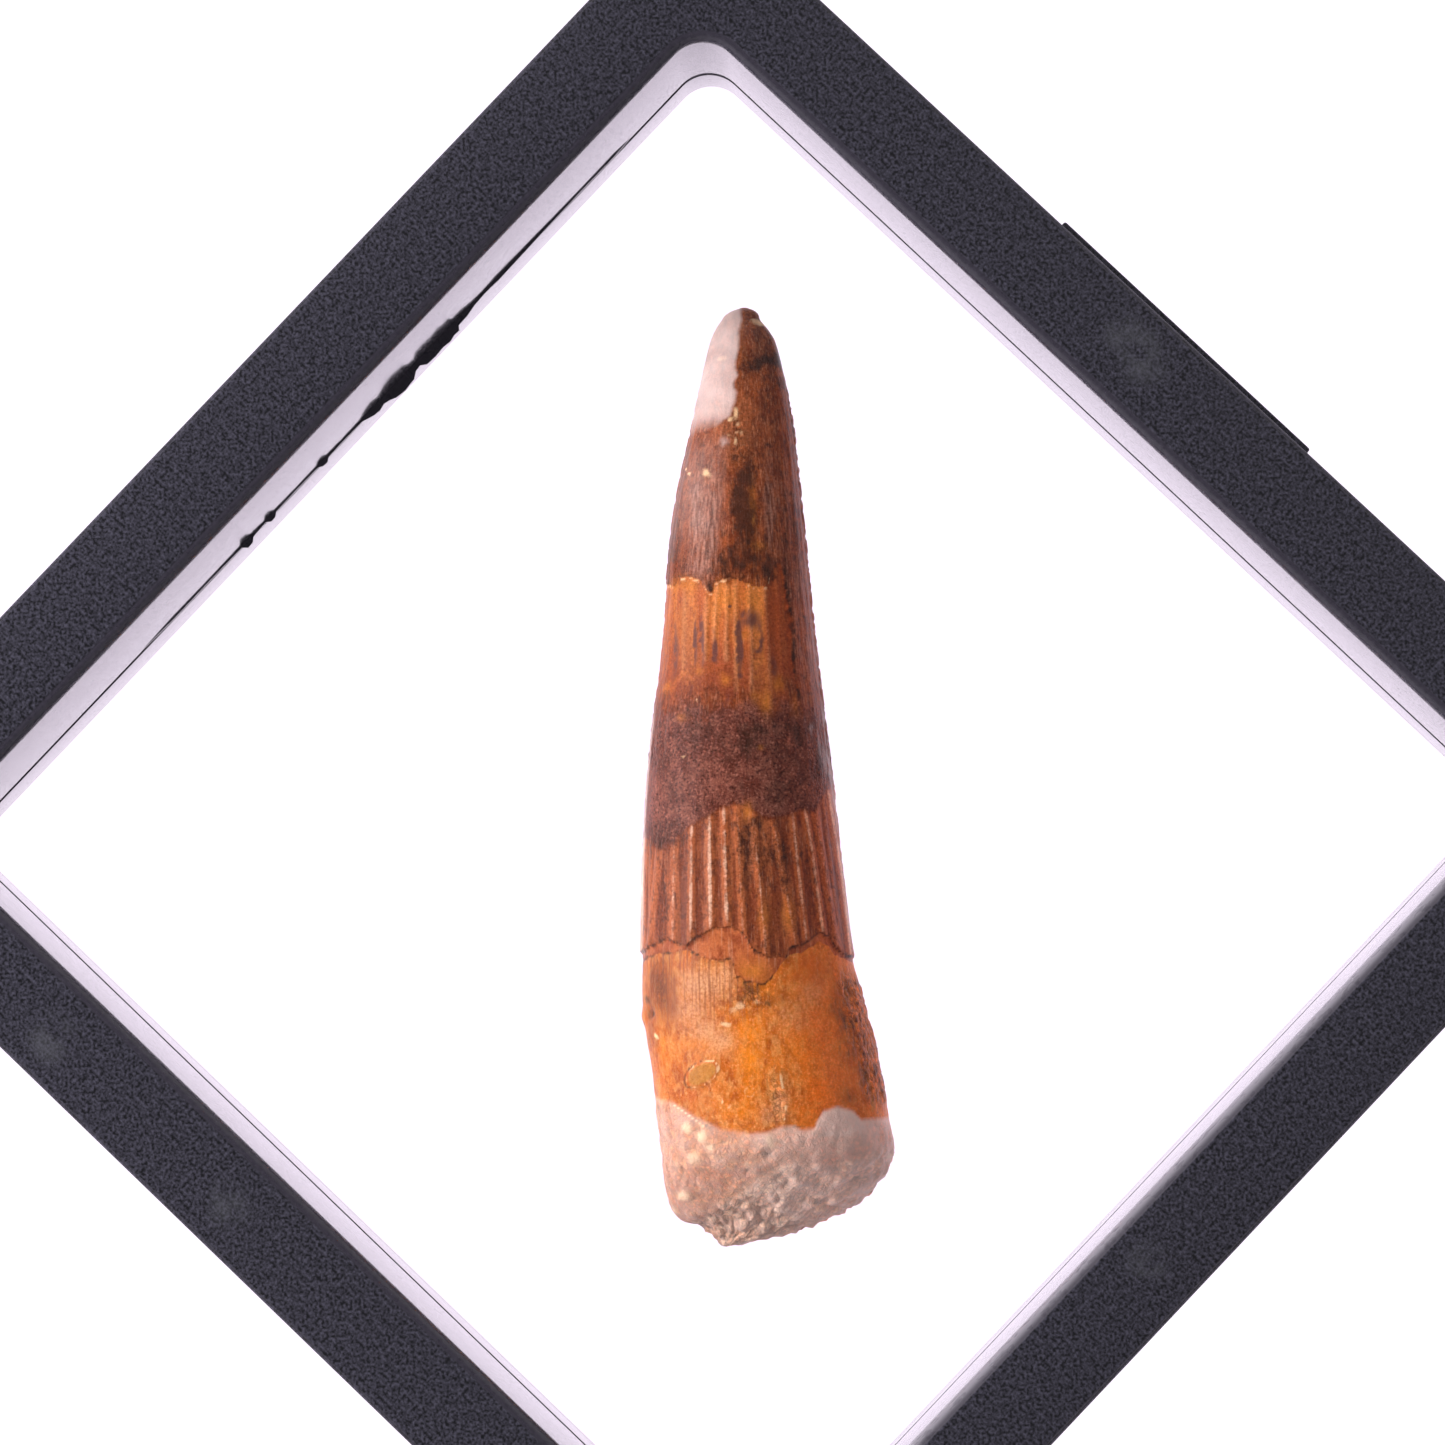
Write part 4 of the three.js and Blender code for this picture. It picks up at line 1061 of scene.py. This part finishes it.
# The two films, clear elastic sheets stretched over the halves' windows and bonded to them.
# Shut, they are pushed out by the tooth from both sides and cling to it.
FILM_CELLS = 198
FILM_SHEET = 0.12
FILM_SEAT = 0.05
FILM_OVERLAP = 3
FILM_CLEARANCE = 0.2
TABLE_CLEARANCE = 0.25
SETTLING_SWEEPS = 700
SETTLING_HASTE = 1.93
FILM_IOR = 1.25
FILM_SHARP_ANGLE = 60


def tooth_height(x, y, side):
    """The tooth's top or underside at places in the case, and not a number beside it."""
    along = diagonal * (y - TOOTH_TIP[1]) - diagonal * (x - TOOTH_TIP[0])
    aside = -diagonal * (x - TOOTH_TIP[0]) - diagonal * (y - TOOTH_TIP[1])
    held = np.clip(along, 0, TOOTH_LENGTH)
    left, right, under, top = (station_value(k, held) for k in (1, 2, 3, 4))
    share = np.abs((aside - (left + right) / 2) / ((right - left) / 2))
    bulge = (1 - np.clip(share, 0, 1) ** SECTION_ROUNDNESS) ** (1 / SECTION_ROUNDNESS)
    found = (under + top) / 2 + side * (top - under) / 2 * bulge
    return np.where((share < 1) & (along > 0) & (along < TOOTH_LENGTH), found, np.nan)


def stretch_film(side):
    """The film's inner face on a grid, once it has settled against the tooth."""
    reach = WINDOW_SIDE / 2 + FILM_OVERLAP
    line = np.linspace(-reach, reach, FILM_CELLS + 1)
    x, y = np.meshgrid(line, line, indexing="ij")
    rim = SEAM_HEIGHT + side * FILM_SEAT
    inner = WINDOW_SIDE / 2 - WINDOW_CORNER_RADIUS
    corner = np.hypot(np.maximum(np.abs(x) - inner, 0), np.maximum(np.abs(y) - inner, 0))
    free = corner < WINDOW_CORNER_RADIUS
    outermost = np.maximum if side > 0 else np.minimum
    stop = tooth_height(x, y, side) + side * FILM_CLEARANCE
    limit = np.where(np.isnan(stop), rim, stop)
    limit = outermost(np.maximum(limit, TABLE_CLEARANCE + FILM_SHEET), rim)
    heights = limit.copy()
    rows, columns = np.indices(heights.shape)
    checks = [((rows + columns) % 2 == parity) & free for parity in (0, 1)]
    # Every point moves to the mean of its neighbours and a little beyond, unless the tooth stops
    # it, the points of each colour of a chessboard in turn.
    for check in checks * SETTLING_SWEEPS:
        mean = np.zeros_like(heights)
        mean[1:-1, 1:-1] = (heights[:-2, 1:-1] + heights[2:, 1:-1]
                            + heights[1:-1, :-2] + heights[1:-1, 2:]) / 4
        settled = outermost(heights + SETTLING_HASTE * (mean - heights), limit)
        heights = np.where(check, settled, heights)
    return x, y, heights


def film_piece(name, side):
    """A stretched film as a thin closed sheet."""
    x, y, heights = stretch_film(side)
    count = FILM_CELLS + 1
    inner_face = np.stack([x, y, heights], 2).reshape(-1, 3)
    outer_face = inner_face + np.array([0, 0, side * FILM_SHEET])
    index = np.arange(count * count).reshape(count, count)
    cells = np.stack([index[:-1, :-1], index[1:, :-1], index[1:, 1:], index[:-1, 1:]], 2)
    cells = cells.reshape(-1, 4)
    rim = np.concatenate([index[0, :-1], index[:-1, -1], index[-1, :0:-1], index[:0:-1, 0]])
    after = np.roll(rim, -1)
    sides = np.stack([rim, after, after + count * count, rim + count * count], 1)
    faces = np.concatenate([cells, cells[:, ::-1] + count * count, sides]).tolist()
    piece = piece_from(name, np.concatenate([inner_face, outer_face]), faces)
    smooth_but_sharp(piece, FILM_SHARP_ANGLE)
    return piece


def film_finish(name):
    """Clear elastic film, held along its margin, which is painted dark as the shadow in the seam.
    Lamps shine through it.
    """
    material, add = start_finish(name)
    film = add("BsdfPrincipled", {"Base Color": (0.99, 0.985, 0.99), "Roughness": 0.0,
                                  "IOR": FILM_IOR, "Transmission Weight": 1.0}).outputs[0]
    axes = add("SeparateXYZ", {0: add("TexCoord").outputs["Object"]}).outputs
    reach = reckon(add, "MAXIMUM", reckon(add, "ABSOLUTE", axes["X"]),
                   reckon(add, "ABSOLUTE", axes["Y"]))
    # Painted shadow: the film is dark beyond the window's edge, inside the seam.
    bonded = spread(add, reach, (WINDOW_SIDE / 2 - 0.02) * MM, (WINDOW_SIDE / 2 + 0.03) * MM)
    glue = add("BsdfPrincipled", {"Base Color": (0.006, 0.005, 0.01), "Roughness": 0.6})
    film = add("MixShader", {0: bonded, 1: film, 2: glue.outputs[0]}).outputs[0]
    shadow = add("LightPath").outputs["Is Shadow Ray"]
    through = add("BsdfTransparent").outputs[0]
    seen = add("MixShader", {0: shadow, 1: film, 2: through}).outputs[0]
    add("OutputMaterial", {"Surface": seen})
    return material


clear_film = film_finish("clear_elastic_film")
back_film = film_piece("back_film", -1)
back_film.data.materials.append(clear_film)
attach(back_film, "base")
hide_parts("back_membrane")
front_film = film_piece("front_film", 1)
front_film.data.materials.append(clear_film)
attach(front_film, "lid")
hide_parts("front_membrane")
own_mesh(front_film)


# The front half of the case, the deeper one, which opens as a lid.
# It is one moulding of the same plastic, with the finger tab on its free side, the hinge
# barrels and pegs opposite, and a torn flash of plastic left along one inner wall.
TAB_LENGTH = 28.6
TAB_REACH = 2.1
TAB_THICKNESS = 1.8
TAB_ROOT = 1.0
TAB_EDGE_ROUND = 0.25
FLASH_BOTTOM = SEAM_HEIGHT + 0.55
FLASH_TOP = SEAM_HEIGHT + 0.8
FLASH_ROOT = 0.3

front_half = half_shell("case_front_half", CASE_DEPTH - SEAM_HEIGHT, 1)
for group_x in (-HINGE_GROUP_X, HINGE_GROUP_X):
    for side in (-1, 1):
        notch = hinge_bar(group_x + side * BASE_BARREL_OFFSET, BASE_BARREL + 2 * BARREL_GAP,
                          HINGE_RADIUS + BARREL_CLEARANCE)
        combine(front_half, notch, "DIFFERENCE")
    barrel = hinge_bar(group_x, LID_BARREL, HINGE_RADIUS, BARREL_END_ROUND)
    combine(front_half, barrel, "UNION")
    pegs = hinge_bar(group_x, LID_BARREL + 2 * PEG_LENGTH, PEG_RADIUS, PEG_END_ROUND)
    combine(front_half, pegs, "UNION")


def rounded_slab(name, low, high, rounding):
    """A slab between two corners with every edge rounded."""
    low, high = Vector(low) * MM, Vector(high) * MM
    reach = Matrix.Translation((low + high) / 2) @ Matrix.Diagonal((*(high - low), 1))
    slab = bmesh.new()
    bmesh.ops.create_cube(slab, size=1.0, matrix=reach)
    bmesh.ops.bevel(slab, geom=slab.edges[:], offset=rounding * MM, segments=3, profile=0.6,
                    affect="EDGES")
    mesh = bpy.data.meshes.new(name)
    slab.to_mesh(mesh)
    slab.free()
    return placed(name, mesh)


# The torn flash: place along the wall and how far it stands out from it.
FLASH_EDGE = [
    (-37, 0.0), (-35, 0.12), (-31, 0.1), (-27, 0.14), (-23.3, 0.2), (-20.2, 0.25), (-19.5, 0.2),
    (-18.6, 0.18), (-17.3, 0.24), (-16.2, 0.42), (-15.1, 0.45), (-14.8, 0.8), (-14.2, 0.76),
    (-13.6, 0.9), (-12.8, 0.78), (-11.8, 0.86), (-10.8, 0.8), (-10.3, 0.42), (-9.7, 0.5),
    (-9.1, 0.88), (-8.5, 0.92), (-7.9, 1.0), (-6.9, 0.85), (-6.4, 0.62), (-5.8, 0.45),
    (-5.1, 0.6), (-4.4, 0.5), (-3.4, 0.16), (-1, 0.12), (0.8, 0.16), (1.2, 0.4), (1.7, 0.36),
    (2.1, 0.12), (5, 0.1), (7.3, 0.14), (7.7, 0.4), (8.2, 0.42), (8.6, 0.12), (10.2, 0.2),
    (10.6, 0.5), (11.2, 0.55), (11.6, 0.14), (15, 0.1), (20, 0.12), (24, 0.0),
]
flash_points = []
for y, proud in FLASH_EDGE:
    rooted, torn = WINDOW_SIDE / 2 + FLASH_ROOT, WINDOW_SIDE / 2 - proud
    flash_points += [(rooted, y, FLASH_BOTTOM), (torn, y, FLASH_BOTTOM),
                     (torn, y, FLASH_TOP), (rooted, y, FLASH_TOP)]
flash = piece_from("flash", flash_points, ring_faces(len(FLASH_EDGE), 4))
combine(front_half, flash, "UNION")

tab_low = SEAM_HEIGHT + SEAM_GAP / 2
tab = rounded_slab("tab", (-TAB_LENGTH / 2, -CASE_SIDE / 2 - TAB_REACH, tab_low),
                   (TAB_LENGTH / 2, -CASE_SIDE / 2 + TAB_ROOT, tab_low + TAB_THICKNESS),
                   TAB_EDGE_ROUND)
combine(front_half, tab, "UNION")
smooth_but_sharp(front_half)
finish_half(front_half)
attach(front_half, "lid")
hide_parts("front_frame")


# The studio: a pale floor, soft lights and the camera, none of it part of the object.
# The case lies on the floor and is seen from straight above, turned by an eighth of a turn.
FLOOR_REACH = 3000
FLOOR_DROP = 0.2
LAMP_PLACE = (0.28, 0.22, 0.185)
LAMP_SIZE = 0.2
LAMP_POWER = 1.42
LAMP_AIM = (0, 0, 0.01)
FLOOR_BRIGHTNESS = 1.27
TENT_SIDES = 0.75
TENT_TOP = 0.14
TENT_LEAN = 0.5
LENS_LENGTH = 116.886
VIEWPOINT = Vector((-0.0216977, 0.0022261, 0.4063161))
IMAGE_RIGHT = Vector((-0.7246552, -0.6881441, -0.0365039))
IMAGE_UP = Vector((0.6856021, -0.7252918, 0.0624629))

floor_corners = [(x * FLOOR_REACH, y * FLOOR_REACH, 0)
                 for x, y in ((-1, -1), (1, -1), (1, 1), (-1, 1))]
floor = piece_from("floor", floor_corners, [(0, 1, 2, 3)])
floor.location.z = -FLOOR_DROP * MM
floor_white, add = start_finish("floor_white")
paper = add("Emission", {"Color": (1.0, 0.9, 1.045), "Strength": FLOOR_BRIGHTNESS})
add("OutputMaterial", {"Surface": paper.outputs[0]})
floor.data.materials.append(floor_white)

# A square soft box beside the viewer, aimed at the middle of the case.
lamp = bpy.data.lights.new("left_light", "AREA")
lamp.shape = "SQUARE"
lamp.size = LAMP_SIZE
lamp.energy = LAMP_POWER
soft_box = placed("left_light", lamp)
soft_box.location = LAMP_PLACE
towards_case = Vector(LAMP_AIM) - Vector(LAMP_PLACE)
soft_box.rotation_euler = towards_case.to_track_quat("-Z", "Y").to_euler()
soft_box.visible_glossy = False

# The tent round the case: bright at the sides, dim overhead where the viewer stands, and
# brighter on the +X side than on the -X side.
world = bpy.data.worlds.new("studio")
world.use_nodes = True
add = adder(world.node_tree)
way = add("SeparateXYZ", {0: add("TexCoord").outputs["Generated"]}).outputs
opening = spread(add, way["Z"], 0.6, 0.93, TENT_SIDES, TENT_TOP)
lean = reckon(add, "MULTIPLY_ADD", way["X"], TENT_LEAN, 1.0)
cloth = add("Background", {"Color": (1.0, 0.975, 1.0), "Strength": times(add, opening, lean)})
add("OutputWorld", {"Surface": cloth.outputs[0]})
bpy.context.scene.world = world
bpy.context.scene.view_settings.view_transform = "Standard"

# The view was found from the case's straight edges in the photograph.
camera_data = bpy.data.cameras.new("camera")
camera_data.sensor_width = 36
camera_data.lens = LENS_LENGTH
camera_data.clip_start = 0.01
camera = placed("camera", camera_data)
columns = (IMAGE_RIGHT, IMAGE_UP, IMAGE_RIGHT.cross(IMAGE_UP), VIEWPOINT)
camera.matrix_world = Matrix([[column[k] for column in columns] for k in range(3)]
                             + [[0, 0, 0, 1]])
bpy.context.scene.camera = camera
